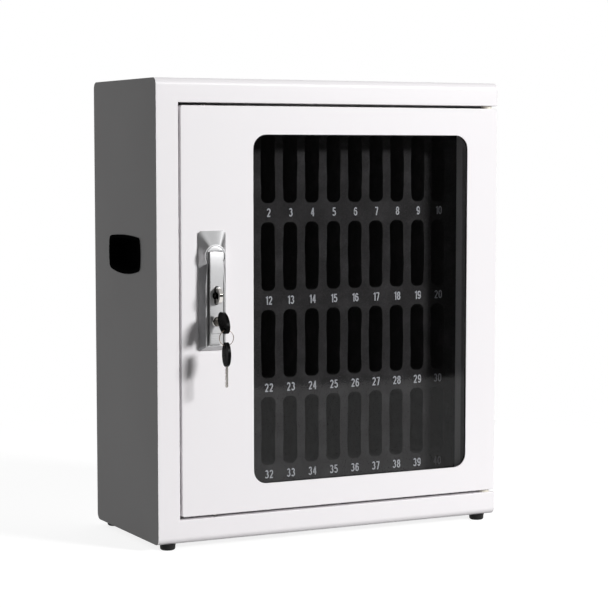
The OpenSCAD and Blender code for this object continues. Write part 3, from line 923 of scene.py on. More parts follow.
@dataclass(frozen=True)
class CupOutline:
    """How far the sides of a carrying cup bulge, and how much of a side each corner takes."""

    side: float = 2.2 * MM
    top: float = 2.1 * MM
    foot: float = 5.2 * MM
    corner: float = 4 * MM

    def loop(self, centre: Vector, x: float, wide: float, tall: float) -> list[Sequence[float]]:
        """The outline as a loop in space.

        Args:
            centre: The cup's centre.
            x: Where the loop lies along X.
            wide: Its size along Y.
            tall: Its size along Z.

        Returns:
            The loop's points.
        """
        outline = arched(wide, tall, self.side, self.top, self.foot, self.corner)
        return [(x, centre.y + y, centre.z + z) for y, z in outline]


@dataclass
class Case:
    """The painted steel case: the wrap, the stile and the side panels."""

    maker: Maker
    sheet: float = SHEET
    bend: float = 7.5 * MM
    fold: float = FOLD
    rail: float = 26 * MM
    lip: float = 15 * MM
    rod_hole: float = 4 * MM
    rod_reach: float = 4 * MM
    hinge_room: float = 22.31 * MM
    cup_lap: float = 2 * MM
    cut_edge: float = 0.25 * MM
    rim_slope: float = 0.6

    def __post_init__(self) -> None:
        """Reads the case's faces from the frame."""
        self.low, self.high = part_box("case_wrap")

    def wrap(self) -> None:
        """Top, back, bottom and both rails, folded from one sheet."""
        x, y0, y1 = self.low.x, self.low.y, self.high.y
        z0, z1 = self.low.z, self.high.z
        lip = y0 + self.lip
        low, high = z0 + self.rail, z1 - self.rail
        path = [((x, lip, low), 0.0), ((x, y0, low), self.fold), ((x, y0, z0), self.bend),
                ((x, y1, z0), self.bend), ((x, y1, z1), self.bend), ((x, y0, z1), self.bend),
                ((x, y0, high), self.fold), ((x, lip, high), 0.0)]
        bm = folded(path, (self.high.x - self.low.x, 0, 0))
        face_along(bm, (0, 1, 0))
        holes = bmesh.new()
        for node, tip in (("upper_rod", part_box("upper_rod")[1].z), ("lower_rod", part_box("lower_rod")[0].z)):
            upright_cut(holes, rod_place(node), tip, self.rod_hole, self.rod_reach)
        self.maker.piece("case_shell", bm, Slot.WHITE, Body.CABINET, ["case_wrap"],
                         sheet=self.sheet, holes=holes)

    def stile(self) -> None:
        """Upright left of the door, flush with both rails."""
        low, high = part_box("left_stile")
        foot = low.z - self.fold
        path = [((low.x, high.y, foot), 0.0), ((low.x, low.y, foot), 0.0),
                ((high.x, low.y, foot), self.fold), ((high.x, high.y, foot), 0.0)]
        bm = folded(path, (0, 0, high.z - low.z + 2 * self.fold))
        face_along(bm, (0, -1, 0))
        self.maker.piece("door_stile", bm, Slot.WHITE, Body.CABINET, ["left_stile"], sheet=self.sheet)

    def _side_outline(self, notched: bool) -> list[Point]:
        """Outline of a side panel in Y and Z.

        Args:
            notched: Leaves room for the door's hinge side.

        Returns:
            The outline's points.
        """
        centre, size = (self.low + self.high) / 2, self.high - self.low
        outline = [(centre.y + y, centre.z + z) for y, z in rounded(size.y, size.z, self.bend)]
        if not notched:
            return outline
        front, step = self.low.y, self.low.y + self.hinge_room
        bottom, top = self.low.z + self.rail, self.high.z - self.rail
        half = len(outline) // 2
        return outline[:half] + [(front, top), (step, top), (step, bottom), (front, bottom)] + outline[half:]

    def side(self, name: str, cup: str, notched: bool) -> None:
        """One side panel, grey outside with white edges.

        Args:
            name: The panel's CAD node.
            cup: The node of its carrying cup.
            notched: Leaves room for the door's hinge side.
        """
        low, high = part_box(name)
        outer = low.x if low.x < 0 else high.x
        bm = bmesh.new()
        edges = ring(bm, [(outer, *point) for point in self._side_outline(notched)])
        cup_low, cup_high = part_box(cup)
        centre = (cup_low + cup_high) / 2
        wide, tall = cup_high.y - cup_low.y - 2 * self.cup_lap, cup_high.z - cup_low.z - 2 * self.cup_lap
        edges += ring(bm, CupOutline().loop(centre, outer, wide, tall))
        bmesh.ops.triangle_fill(bm, use_beauty=True, edges=edges, normal=(1, 0, 0))
        face_along(bm, (math.copysign(1, outer), 0, 0))
        made = self.maker.piece(name.replace("side_panel", "side_sheet"), bm, Slot.GREY, Body.CABINET,
                                [name], sheet=self.sheet, edge=self.cut_edge, segments=2)
        made.data.materials.append(self.maker.palette.made[Slot.WHITE])
        for face in made.data.polygons:
            off = face.center - centre
            rim = abs(off.y) > wide or abs(off.z) > tall
            face.material_index = int(rim and abs(face.normal.x) < self.rim_slope)

    def build(self) -> None:
        """All pieces of the case."""
        self.wrap()
        self.stile()
        self.side("side_panel_left", "carry_cup_left", False)
        self.side("side_panel_right", "carry_cup_right", True)


@dataclass
class Feet:
    """Four rubber feet, each with a recess for its screw.

    The sole's edge is given by how far each point stands out past the sole, and how high it is.
    """

    maker: Maker
    top: float = 9 * MM
    top_draft: float = 0.5 * MM
    top_share: float = 0.72
    sole: float = 7.4 * MM
    sole_edge: tuple[Point, ...] = millimetres((0.9, 1.6), (0.3, 0.6), (-0.6, 0))
    bore: float = 2.1 * MM
    recess: float = 4.6 * MM
    recess_deep: float = 4 * MM
    recess_edge: Point = (0.2 * MM, 0.3 * MM)

    def build(self) -> None:
        """One foot under each corner."""
        for place in ("front_left", "front_right", "rear_left", "rear_right"):
            low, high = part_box("foot_" + place)
            centre, tall = (low + high) / 2, high.z - low.z
            flare, bevel = self.recess_edge
            profile = [(self.bore, tall), (self.top, tall),
                       (self.top - self.top_draft, tall * self.top_share),
                       *((self.sole + out, up) for out, up in self.sole_edge),
                       (self.recess + flare, 0.0), (self.recess, bevel), (self.recess, self.recess_deep),
                       (self.bore, self.recess_deep), (self.bore, tall)]
            bm = bmesh.new()
            turned(bm, profile, (centre.x, centre.y, low.z), (0, 0, 1))
            self.maker.piece("rubber_foot_" + place, bm, Slot.FOOT, Body.CABINET, ["foot_" + place])


@dataclass
class CarryCup:
    """Recessed grip let into a side panel.

    The skin runs over the flange and into the hollow, each point by how far in from the flange's edge
    and how far out from the panel it lies. The shell is the outside, measured out from its back.
    """

    maker: Maker
    node: str
    flange: float = 1 * MM
    skin: tuple[Point, ...] = millimetres((0, 0), (0, 0.6), (0.4, 1), (3, 1), (3.6, 0.5), (3.6, -1),
                                          (4.4, -15), (6, -19.5), (9.5, -21.8), (14, -22.4))
    shell: tuple[Point, ...] = millimetres((12, 0), (5, 1), (2.2, 5))
    neck: float = 2.1 * MM

    def build(self) -> None:
        """Flange, hollow and outer shell as one closed skin."""
        low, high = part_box(self.node)
        side = 1 if low.x > 0 else -1
        face = high.x - self.flange if side > 0 else low.x + self.flange
        centre, size = (low + high) / 2, high - low
        deep = size.x - self.flange

        def loop(inwards: float, out: float) -> list[Sequence[float]]:
            """The cup's outline drawn in all round, at a distance out from the panel."""
            return CupOutline().loop(centre, face + side * out, size.y - 2 * inwards, size.z - 2 * inwards)

        skin = [loop(*point) for point in self.skin]
        shell = [loop(inwards, out - deep) for inwards, out in self.shell] + [loop(self.neck, 0.0), skin[0]]
        bm = bmesh.new()
        loft(bm, skin, end=True)
        loft(bm, shell, start=True)
        face_out(bm)
        name = self.node.replace("carry_cup", "grip_cup")
        self.maker.piece(name, bm, Slot.BLACK, Body.CABINET, [self.node])


@dataclass
class Digits:
    """Plain condensed digits as bands of even width."""

    tall: float = 8.2 * MM
    wide: float = 3.2 * MM
    one_wide: float = 0.45
    stroke: float = 1.3 * MM
    depth: float = 0.15 * MM
    space: float = 2.4 * MM

    @staticmethod
    def _arc(across: float, up: float, half: float, rise: float, start: float, end: float) -> list[Point]:
        """Part of an oval, in shares of the digit's box.

        Args:
            across: The oval's centre along the box's width.
            up: The oval's centre along the box's height.
            half: Half its width.
            rise: Half its height.
            start: Angle where the part starts, in degrees.
            end: Angle where it ends.

        Returns:
            The part's points.
        """
        count = max(3, int(abs(end - start) / 20))
        turns = [math.radians(start + (end - start) * i / count) for i in range(count + 1)]
        return [(across + half * math.cos(t), up + rise * math.sin(t)) for t in turns]

    def strokes(self, digit: str) -> list[list[Point]]:
        """Middle lines of a digit.

        Args:
            digit: The digit.

        Returns:
            Its lines, in shares of its box.
        """
        arc = self._arc
        six = [arc(0.5, 0.3, 0.5, 0.3, 0, 360), arc(0.52, 0.56, 0.52, 0.44, 38, 180) + [(0.0, 0.3)]]
        return {
            "0": [arc(0.5, 0.68, 0.5, 0.32, 0, 180) + arc(0.5, 0.32, 0.5, 0.32, 180, 360) + [(1.0, 0.68)]],
            "1": [[(0.55, 1.08), (0.55, -0.08)], [(0.0, 0.84), (0.55, 0.98)]],
            "2": [arc(0.5, 0.73, 0.5, 0.27, 165, -25) + [(0.1, 0.0)], [(-0.1, 0.0), (1.1, 0.0)]],
            "3": [arc(0.47, 0.76, 0.45, 0.24, 155, -80), arc(0.47, 0.27, 0.53, 0.27, 80, -155)],
            "4": [[(0.76, -0.08), (0.76, 1.08)], [(0.7, 1.05), (0.02, 0.26)], [(-0.05, 0.26), (1.15, 0.26)]],
            "5": [[(0.05, 1.0), (1.0, 1.0)], [(0.14, 1.05), (0.1, 0.5)],
                  arc(0.46, 0.31, 0.54, 0.31, 125, -150)],
            "6": six,
            "7": [[(-0.1, 1.0), (1.05, 1.0)], [(0.95, 1.0), (0.34, -0.08)]],
            "8": [arc(0.5, 0.76, 0.43, 0.24, 0, 360), arc(0.5, 0.26, 0.5, 0.26, 0, 360)],
            "9": [[(1 - x, 1 - z) for x, z in line] for line in six],
        }[digit]

    def write(self, bm: bmesh.types.BMesh, number: str, centre: Vector) -> None:
        """Adds the middle lines of a number.

        Args:
            bm: The mesh that gets the lines as edges.
            number: The number.
            centre: The point that it is centred on.
        """
        widths = [self.wide * (self.one_wide if digit == "1" else 1.0) for digit in number]
        left = -(sum(widths) + self.space * (len(number) - 1)) / 2
        for digit, width in zip(number, widths):
            for line in self.strokes(digit):
                shut = math.dist(line[0], line[-1]) < 1e-6
                verts = [bm.verts.new(centre + Vector((left + x * self.wide, 0, (z - 0.5) * self.tall)))
                         for x, z in (line[:-1] if shut else line)]
                for pair in zip(verts, verts[1:] + (verts[:1] if shut else [])):
                    bm.edges.new(pair)
            left += width + self.space


@dataclass
class FoamBlock:
    """Foam with four rows of slots, its back pad and the slot numbers."""

    maker: Maker
    nodes: tuple[str, ...] = ("foam_row_1", "foam_row_2", "foam_row_3", "foam_row_4")
    pitch: float = 27.46 * MM
    slot_wide: float = 17.6 * MM
    slot_narrower: float = 0.4 * MM
    slot_wider: float = 0.1 * MM
    slot_corner: float = 7 * MM
    slot_soft: float = 0.7 * MM
    corner_steps: int = 6
    web: float = 21 * MM
    seam_drop: float = 19 * MM
    columns: int = 10
    block_corner: float = 0.8 * MM
    pad_soft: float = 1 * MM
    wave: float = 0.32 * MM
    long_waves: float = 7.0
    short_waves: float = 19.0
    label_drop: float = 10.4 * MM
    label_shift: float = 0.8 * MM
    seed: int = 11

    def __post_init__(self) -> None:
        """Works out the slots' places from the rows' boxes, the top row first."""
        rows = [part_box(node) for node in self.nodes]
        row_pitch = rows[1][0].z - rows[2][0].z
        lowest = rows[2][0].z - row_pitch + self.seam_drop
        self.slot_feet = [lowest + k * row_pitch for k in reversed(range(len(rows)))]
        self.slot_tall = row_pitch - self.web
        self.low = Vector((rows[0][0].x, rows[0][0].y, rows[-1][0].z))
        self.high = rows[0][1]
        centre = (self.low.x + self.high.x) / 2
        self.centres = [centre + (i - (self.columns - 1) / 2) * self.pitch for i in range(self.columns)]

    def _stray(self, point: Point, phases: Sequence[Point]) -> Point:
        """A point of a slot's outline, as far off as the knife strays there.

        Args:
            point: The point of a straight cut.
            phases: Where the long and the short waves start, on the right and on the left side.

        Returns:
            The point of the real cut.
        """
        x, z = point
        long, short = phases[0] if x > 0 else phases[1]
        share = z / self.slot_tall
        waves = math.sin(share * self.long_waves + long) + 0.5 * math.sin(share * self.short_waves + short)
        return x + math.copysign(self.wave, x) * waves, z

    def slot_outline(self, chance: random.Random) -> list[Point]:
        """Outline of one slot, as unsteady as a knife cut.

        Args:
            chance: Where the cut's unsteadiness comes from.

        Returns:
            The outline's points, from the slot's middle.
        """
        starts = [chance.uniform(0, 2 * math.pi) for _ in range(4)]
        width = self.slot_wide + chance.uniform(-self.slot_narrower, self.slot_wider)
        corners = rounded(width, self.slot_tall, self.slot_corner, self.corner_steps)
        half = self.slot_tall / 2 - self.slot_corner
        count = self.corner_steps
        rising = [half * (k / count - 1) for k in range(1, 2 * count)]
        upper = 2 * (count + 1)
        points = (corners[:upper] + [(-width / 2, -z) for z in rising]
                  + corners[upper:] + [(width / 2, z) for z in rising])
        phases = ((starts[0], starts[2]), (starts[1], starts[3]))
        return [self._stray(point, phases) for point in points]

    def block(self) -> None:
        """The slotted block, with softly rounded slot edges."""
        chance = random.Random(self.seed)
        front = self.low.y
        size, centre = self.high - self.low, (self.low + self.high) / 2
        bm = bmesh.new()
        edges = ring(bm, [(centre.x + x, front, centre.z + z)
                          for x, z in rounded(size.x, size.z, self.block_corner, 2)])
        for foot in self.slot_feet:
            for x in self.centres:
                outline = self.slot_outline(chance)
                edges += ring(bm, [(x + u, front, foot + self.slot_tall / 2 + v) for u, v in outline])
        bmesh.ops.triangle_fill(bm, use_beauty=True, edges=edges, normal=(0, -1, 0))
        draw_out(bm, bmesh.ops.extrude_face_region(bm, geom=bm.faces[:]), (0, size.y, 0))
        face_out(bm)
        rims = [edge for edge in folds(bm) if all(vert.co.y < front + self.slot_soft for vert in edge.verts)]
        soften(bm, rims, self.slot_soft, 2)
        self.maker.piece("foam_block", bm, Slot.FOAM, Body.CABINET, self.nodes, angle=50.0)

    def pad(self) -> None:
        """The pad that closes the slots at the back."""
        bm = bmesh.new()
        box(bm, *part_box("foam_pad"))
        self.maker.piece("foam_back_pad", bm, Slot.FOAM, Body.CABINET, ["foam_pad"], edge=self.pad_soft)

    def numbers(self) -> None:
        """Plain numbers from 1 to 40 printed under the slots."""
        bm = bmesh.new()
        digits = Digits()
        number = 0
        for foot in self.slot_feet:
            for x in self.centres:
                number += 1
                place = Vector((x + self.label_shift, self.low.y, foot - self.label_drop))
                digits.write(bm, str(number), place)
        draw_out(bm, bmesh.ops.extrude_edge_only(bm, edges=bm.edges[:]), (0, -digits.depth, 0))
        self.maker.piece("slot_numbers", bm, Slot.WHITE, Body.CABINET, sheet=digits.stroke, centred=True,
                         material=self.maker.palette.print)

    def build(self) -> None:
        """The block, the pad and the numbers."""
        self.block()
        self.pad()
        self.numbers()


@dataclass
class Door:
    """Folded door pan with a window, and the bumpers that it shuts on.

    The bumper's dome is given by how far in from its side and how high each point is.
    """

    maker: Maker
    sheet: float = SHEET
    fold: float = FOLD
    corner: float = 2.6 * MM
    window_corner: float = 15.5 * MM
    pane_lap: float = 9 * MM
    cut_edge: float = 0.2 * MM
    shaft_hole: float = 7 * MM
    screw_hole: float = 2.1 * MM
    screw_side: float = 10.5 * MM
    screw_low: float = -24 * MM
    screw_high: float = 20 * MM
    face_reach: float = 3 * MM
    edge_hole: float = 4.85 * MM
    edge_reach: float = 2 * MM
    dome: tuple[Point, ...] = millimetres((0, 2.4), (0.7, 0.8), (2.2, 0))

    def skin(self) -> None:
        """Front, window edge and four returns as one sheet, with the holes for what passes through."""
        low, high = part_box("door_skin")
        pane_low, pane_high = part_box("window_pane")
        centre, window = (low + high) / 2, (pane_low + pane_high) / 2
        outer = rounded(high.x - low.x, high.z - low.z, self.corner)
        inner = rounded(pane_high.x - pane_low.x - 2 * self.pane_lap,
                        pane_high.z - pane_low.z - 2 * self.pane_lap, self.window_corner)
        bm = bmesh.new()
        loft(bm, [[(centre.x + x, high.y, centre.z + z) for x, z in outer],
                  [(centre.x + x, low.y, centre.z + z) for x, z in outer],
                  [(window.x + x, low.y, window.z + z) for x, z in inner]])
        face_along(bm, (0, -1, 0))
        soften(bm, folds(bm), self.fold, 4)
        self.maker.piece("door_sheet", bm, Slot.WHITE, Body.DOOR, ["door_skin"], sheet=self.sheet,
                         edge=self.cut_edge, segments=2, angle=60.0, holes=self._holes(low, high))

    def _holes(self, low: Vector, high: Vector) -> bmesh.types.BMesh:
        """Holes of the shaft, the screws, the hinge bushes and the rods.

        Args:
            low: Lower corner of the door's box.
            high: Upper corner of the door's box.

        Returns:
            The cutters.
        """
        axis = middle("spindle")
        front, back = low.y - PAST, low.y + self.face_reach
        holes = bmesh.new()
        rod(holes, (axis.x, front, axis.z), (axis.x, back, axis.z), self.shaft_hole)
        for x in (axis.x - self.screw_side, axis.x + self.screw_side):
            for z in (axis.z + self.screw_low, axis.z + self.screw_high):
                rod(holes, (x, front, z), (x, back, z), self.screw_hole, 16)
        for part, end in (("top", high.z), ("bottom", low.z)):
            bush = middle("hinge_bush_" + part)
            upright_cut(holes, (bush.x, bush.y), end, self.edge_hole, self.edge_reach)
        for node, end in (("upper_rod", high.z), ("lower_rod", low.z)):
            upright_cut(holes, rod_place(node), end, self.edge_hole, self.edge_reach)
        return holes

    def bumpers(self) -> None:
        """Two domed rubber bumpers that the door shuts on."""
        low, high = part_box("door_bumpers")
        radius, deep = (high.x - low.x) / 2, high.y - low.y
        dome = [(radius - inwards, up) for inwards, up in self.dome]
        profile = [(0.0, deep), (radius, deep), *dome, (0.0, 0.0)]
        bm = bmesh.new()
        for z in (low.z + radius, high.z - radius):
            turned(bm, profile, (low.x + radius, low.y, z), (0, 1, 0), 28)
        self.maker.piece("rubber_bumpers", bm, Slot.FOOT, Body.CABINET, ["door_bumpers"])

    def build(self) -> None:
        """The door's pieces that are modelled anew."""
        self.skin()
        self.bumpers()


@dataclass
class Handle:
    """Swing handle: plate, disc, bar, padlock eye and lock barrel.

    The lip's edge is given by shares of its width and how far each point lies below its crest, the
    disc's edge by how far in and how far below the face, and the bar's outline by the distance from its
    back and the height above the axis, or above its tip at the tip.
    """

    maker: Maker
    lip: float = 0.5 * MM
    lip_wide: float = 1.2 * MM
    lip_edge: tuple[Point, ...] = ((1.0, 0.15 * MM), (0.92, 0.05 * MM), (0.1, 0.0), (0.0, 0.1 * MM))
    bay_radius: float = 11.3 * MM
    bay_room: float = 2.5 * MM
    bay_neck: float = 8.5 * MM
    bay_flare: float = -32 * MM
    bay_foot: float = 5.8 * MM
    bay_deep: float = 1.2 * MM
    bay_corner: float = 0.8 * MM
    bay_corner_gain: float = 0.6
    plate_corner: float = 3.5 * MM
    plate_edge: float = 1.5 * MM
    plate_soft: float = 0.15 * MM
    # Where the painted shade on the plate's side flanks starts and ends, and how steep a face must be to get it
    flank_foot: float = 0.1 * MM
    flank_drop: float = 0.35 * MM
    flank_slope: float = 0.4
    farthest: float = 8.0
    halvings: int = 40
    shaft: float = 6 * MM
    shaft_room: float = 0.3 * MM
    shaft_deep: float = 4 * MM
    tail: float = 2.8 * MM
    tail_deep: float = 14 * MM
    disc: float = 10.6 * MM
    disc_thick: float = 1.6 * MM
    disc_edge: tuple[Point, ...] = millimetres((0.5, 0), (0.1, 0.15), (0, 0.4))
    lug: tuple[Point, ...] = millimetres((11.6, 5), (12.2, 4.5), (12.2, 3.2), (9.8, 3.2), (9.8, 5))
    lug_half: float = 3 * MM
    seam: float = 5.7 * MM
    seam_half: float = 7.8 * MM
    seam_deep: float = 0.9 * MM
    seam_wide: float = 0.7 * MM
    bar_root: float = 4 * MM
    bar_tip: tuple[Point, ...] = millimetres((1.6, 0), (2, 0.6))
    bar_face: tuple[Point, ...] = millimetres((2, -83.4), (2.9, -82.4), (2.9, -52), (3.4, -15), (3.1, -1),
                                              (2.6, 4.6), (1.6, 5.5), (0.6, 5.2))
    bar_soft: float = 1.2 * MM
    bar_soft_from: float = 1.9 * MM
    bar_cut: float = 6 * MM
    rib_count: int = 4
    rib_start: float = 2 * MM
    rib_pitch: float = 2.5 * MM
    rib_wide: float = 1.1 * MM
    rib_margin: float = 1 * MM
    rib_root: float = 1.2 * MM
    rib_top: float = 2.5 * MM
    barrel_hole: float = 4.5 * MM
    eye_slot: Point = (6.1 * MM, 20.1 * MM)
    eye_slot_corner: float = 2.95 * MM
    eye_seat: float = 5.05 * MM
    lug_slot_half: float = 3.2 * MM
    lug_slot_foot: float = 1.9 * MM
    lug_slot_top: float = 8 * MM
    lug_slot_deep: float = 2.1 * MM
    eye_half: float = 2 * MM
    eye_deep: float = 17.2 * MM
    eye_out: float = 6.4 * MM
    eye_foot: float = 3.6 * MM
    eye_hole: float = 7 * MM
    eye_hole_out: float = 8.4 * MM
    eye_stem: float = 3.4 * MM
    eye_soft: float = 0.5 * MM
    barrel_bore: float = 4.08 * MM
    barrel_step: float = 0.75 * MM
    barrel_neck: float = 2.9 * MM
    barrel_soft: Point = (0.3 * MM, 0.35 * MM)
    bore_soft: float = 0.25 * MM

    def __post_init__(self) -> None:
        """Reads the handle's axis and the plate's and the bar's boxes from the frame."""
        axis = middle("spindle")
        self.axis = Vector((axis.x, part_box("door_skin")[0].y, axis.z))
        self.plate_low, self.plate_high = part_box("handle_plate")
        self.bar_low, self.bar_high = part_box("handle_bar")

    def at(self, across: float, out: float, up: float) -> Vector:
        """A point by its distances from the axis at the door's face; out is away from the door."""
        return self.axis + Vector((across, -out, up))

    def _mouth(self, share: float) -> list[Point]:
        """The bay's outline, grown all round.

        Args:
            share: How far it grows, as a share of the lip's width.

        Returns:
            The outline's points.
        """
        grow = share * self.lip_wide
        half = (self.bar_high.x - self.bar_low.x) / 2 + self.bay_room + grow
        foot = self.plate_low.z - self.axis.z + self.bay_foot - grow
        return bay(self.bay_radius + grow, self.bay_neck + grow, half, self.bay_flare, foot,
                   self.bay_corner + self.bay_corner_gain * grow)

    def _foot_point(self, point: Point, half: float, top: float) -> Point:
        """The plate's outline straight out from a point of the lip's circle, found by halving.

        Args:
            point: The lip's point.
            half: Half the plate's width.
            top: Height of its upper edge.

        Returns:
            The outline's point.
        """
        x, z = point
        near, far = 1.0, self.farthest
        for _ in range(self.halvings):
            scale = (near + far) / 2
            over_x, over_z = abs(x * scale) - half + self.plate_corner, z * scale - top + self.plate_corner
            past = math.hypot(max(over_x, 0), max(over_z, 0)) - self.plate_corner
            near, far = (scale, far) if past < 0 else (near, scale)
        return x * near, z * near

    def plate(self) -> None:
        """Die-cast plate: flanks that run up to a keyhole lip round the disc and the bar."""
        face = self.axis.y - self.plate_low.y - self.lip
        crest = face + self.lip
        half = (self.plate_high.x - self.plate_low.x) / 2
        top, bottom = self.plate_high.z - self.axis.z, self.plate_low.z - self.axis.z
        lip = [(self._mouth(share), crest - drop) for share, drop in self.lip_edge]
        outer, inner = lip[0][0], lip[-1][0]
        rim = bay(self.bay_radius, self.bay_neck, half, self.bay_flare, bottom, self.plate_corner)
        circle = BAY_STEPS + 1
        base = [self._foot_point(point, half, top) for point in outer[:circle]] + rim[circle:]
        levels = [(base, 0.0), (base, self.plate_edge), *lip, (inner, face - self.bay_deep)]
        bm = bmesh.new()
        loft(bm, [[self.at(x, out, z) for x, z in outline] for outline, out in levels], start=True, end=True)
        face_out(bm)
        holes = bmesh.new()
        rod(holes, self.at(0, -PAST, 0), self.at(0, face, 0), self.shaft + self.shaft_room)
        made = self.maker.piece("handle_base", bm, Slot.ZINC, Body.DOOR, ["handle_plate"],
                                edge=self.plate_soft, segments=2, angle=24.0, holes=holes)
        # The second material is painted shade for the side flanks below the disc
        made.data.materials.append(self.maker.palette.flank)
        self._darken_flanks(made.data, crest)

    def _darken_flanks(self, mesh: bpy.types.Mesh, crest: float) -> None:
        """Paints shade onto the plate's left and right flanks below the disc, with the darker copy of the zinc.

        Args:
            mesh: The plate's mesh.
            crest: How far the lip stands out from the door.
        """
        foot = self.at(0, self.plate_edge + self.flank_foot, 0).y
        head = self.at(0, crest - self.flank_drop, 0).y
        for part in mesh.polygons:
            below = part.center.z < self.axis.z - self.bay_radius
            # Steep side faces between the plate's edge and the lip get the painted shade
            flank = head < part.center.y < foot and abs(part.normal.x) > self.flank_slope
            part.material_index = int(below and flank)

    def turning_disc(self) -> None:
        """Disc, shaft and tail, with the lug that carries the bar."""
        face = self.axis.y - self.plate_low.y
        back = face - self.disc_thick
        profile = [(0.0, face), *((self.disc - inwards, face - drop) for inwards, drop in self.disc_edge),
                   (self.disc, back), (self.shaft, back), (self.shaft, -self.shaft_deep),
                   (self.tail, -self.shaft_deep), (self.tail, -self.tail_deep), (0.0, -self.tail_deep)]
        bm = bmesh.new()
        turned(bm, profile, self.at(0, 0, 0), (0, -1, 0), 56)
        loft(bm, [[self.at(x, out, z) for out, z in self.lug] for x in (-self.lug_half, self.lug_half)],
             start=True, end=True)
        face_out(bm)
        groove = bmesh.new()
        box(groove, self.at(-self.seam_half, face - self.seam_deep, self.seam),
            self.at(self.seam_half, face + PAST, self.seam + self.seam_wide))
        face_out(groove)
        self.maker.piece("handle_disc", bm, Slot.ZINC, Body.SPINDLE, ["spindle"], holes=groove)

    def _bar_holes(self, back: float) -> bmesh.types.BMesh:
        """Cutters of the barrel's bore, the eye's slot and seat, and the lug's slot.

        Args:
            back: How far the bar's back stands out from the door.

        Returns:
            The cutters.
        """
        barrel, eye = (middle(node).z - self.axis.z for node in ("lock_barrel", "padlock_eye"))
        start, end = back - PAST, back + self.bar_cut
        holes = bmesh.new()
        rod(holes, self.at(0, start, barrel), self.at(0, end, barrel), self.barrel_hole)
        slot = [(x, eye + z) for x, z in rounded(*self.eye_slot, self.eye_slot_corner)]
        loft(holes, [[self.at(x, out, z) for x, z in slot] for out in (start, end)], start=True, end=True)
        rod(holes, self.at(0, start, eye), self.at(0, end, eye), self.eye_seat)
        box(holes, self.at(-self.lug_slot_half, start, self.lug_slot_foot),
            self.at(self.lug_slot_half, back + self.lug_slot_deep, self.lug_slot_top))
        face_out(holes)
        return holes

    def bar(self) -> None:
        """Swing bar with its eye slot, barrel bore, thumb step and ribs."""
        back = self.axis.y - self.bar_high.y
        half = (self.bar_high.x - self.bar_low.x) / 2
        tip = self.bar_low.z - self.axis.z
        outline = [(0.0, self.bar_root), (0.0, tip), *((out, tip + up) for out, up in self.bar_tip),
                   *self.bar_face]
        bm = bmesh.new()
        loft(bm, [[self.at(x, back + out, z) for out, z in outline] for x in (-half, half)],
             start=True, end=True)
        face_out(bm)
        soft_from = self.at(0, back + self.bar_soft_from, 0).y
        rims = [edge for edge in bm.edges if abs(edge.verts[0].co.x - edge.verts[1].co.x) < 1e-6
                and all(vert.co.y < soft_from for vert in edge.verts)]
        soften(bm, rims, self.bar_soft, 5)
        for k in range(self.rib_count):
            foot = tip + self.rib_start + k * self.rib_pitch
            box(bm, self.at(self.rib_margin - half, back + self.rib_root, foot),
                self.at(half - self.rib_margin, back + self.rib_top, foot + self.rib_wide))
        self.maker.piece("swing_lever", bm, Slot.ZINC, Body.BAR, ["handle_bar"],
                         holes=self._bar_holes(back), angle=30.0)

    def eye(self) -> None:
        """Padlock eye: an upright plate with a hole, on a short round stem."""
        low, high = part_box("padlock_eye")
        x, centre, back = self.axis.x, (low.z + high.z) / 2, self.bar_high.y
        foot = back - self.eye_foot
        rim = [(min(back - self.eye_out + y, foot), centre + z)
               for y, z in oval(self.eye_deep, high.z - low.z, 40)]
        hole = [(back - self.eye_hole_out + y, centre + z) for y, z in oval(self.eye_hole, self.eye_hole, 40)]
        left, right = x - self.eye_half, x + self.eye_half
        bm = bmesh.new()
        loft(bm, [[(side, *point) for point in outline] for side, outline in
                  ((left, rim), (right, rim), (right, hole), (left, hole))], joined=True)
        rod(bm, (x, back, centre), (x, foot, centre), self.eye_stem)
        bmesh.ops.remove_doubles(bm, verts=bm.verts[:], dist=1e-6)
        face_out(bm)
        self.maker.piece("padlock_loop", bm, Slot.BRIGHT, Body.HASP, ["padlock_eye"],
                         edge=self.eye_soft, angle=40.0)

    def barrel(self) -> None:
        """Lock barrel: a flange that stands out of the bar round the plug."""
        low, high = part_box("lock_barrel")
        centre = (low + high) / 2
        radius, tall = (high.x - low.x) / 2, high.y - low.y
        neck, bore = radius - self.barrel_step, self.barrel_bore
        inwards, drop = self.barrel_soft
        profile = [(bore, 0.0), (neck, 0.0), (neck, self.barrel_neck), (radius, self.barrel_neck),
                   (radius, tall - drop), (radius - inwards, tall), (bore + self.bore_soft, tall),
                   (bore, tall - self.bore_soft), (bore, 0.0)]
        bm = bmesh.new()
        turned(bm, profile, (centre.x, high.y, centre.z), (0, -1, 0), 48)
        self.maker.piece("barrel_flange", bm, Slot.BRIGHT, Body.BAR, ["lock_barrel"])

    def build(self) -> None:
        """All pieces of the handle that are modelled anew."""
        self.plate()
        self.turning_disc()
        self.bar()
        self.eye()
        self.barrel()


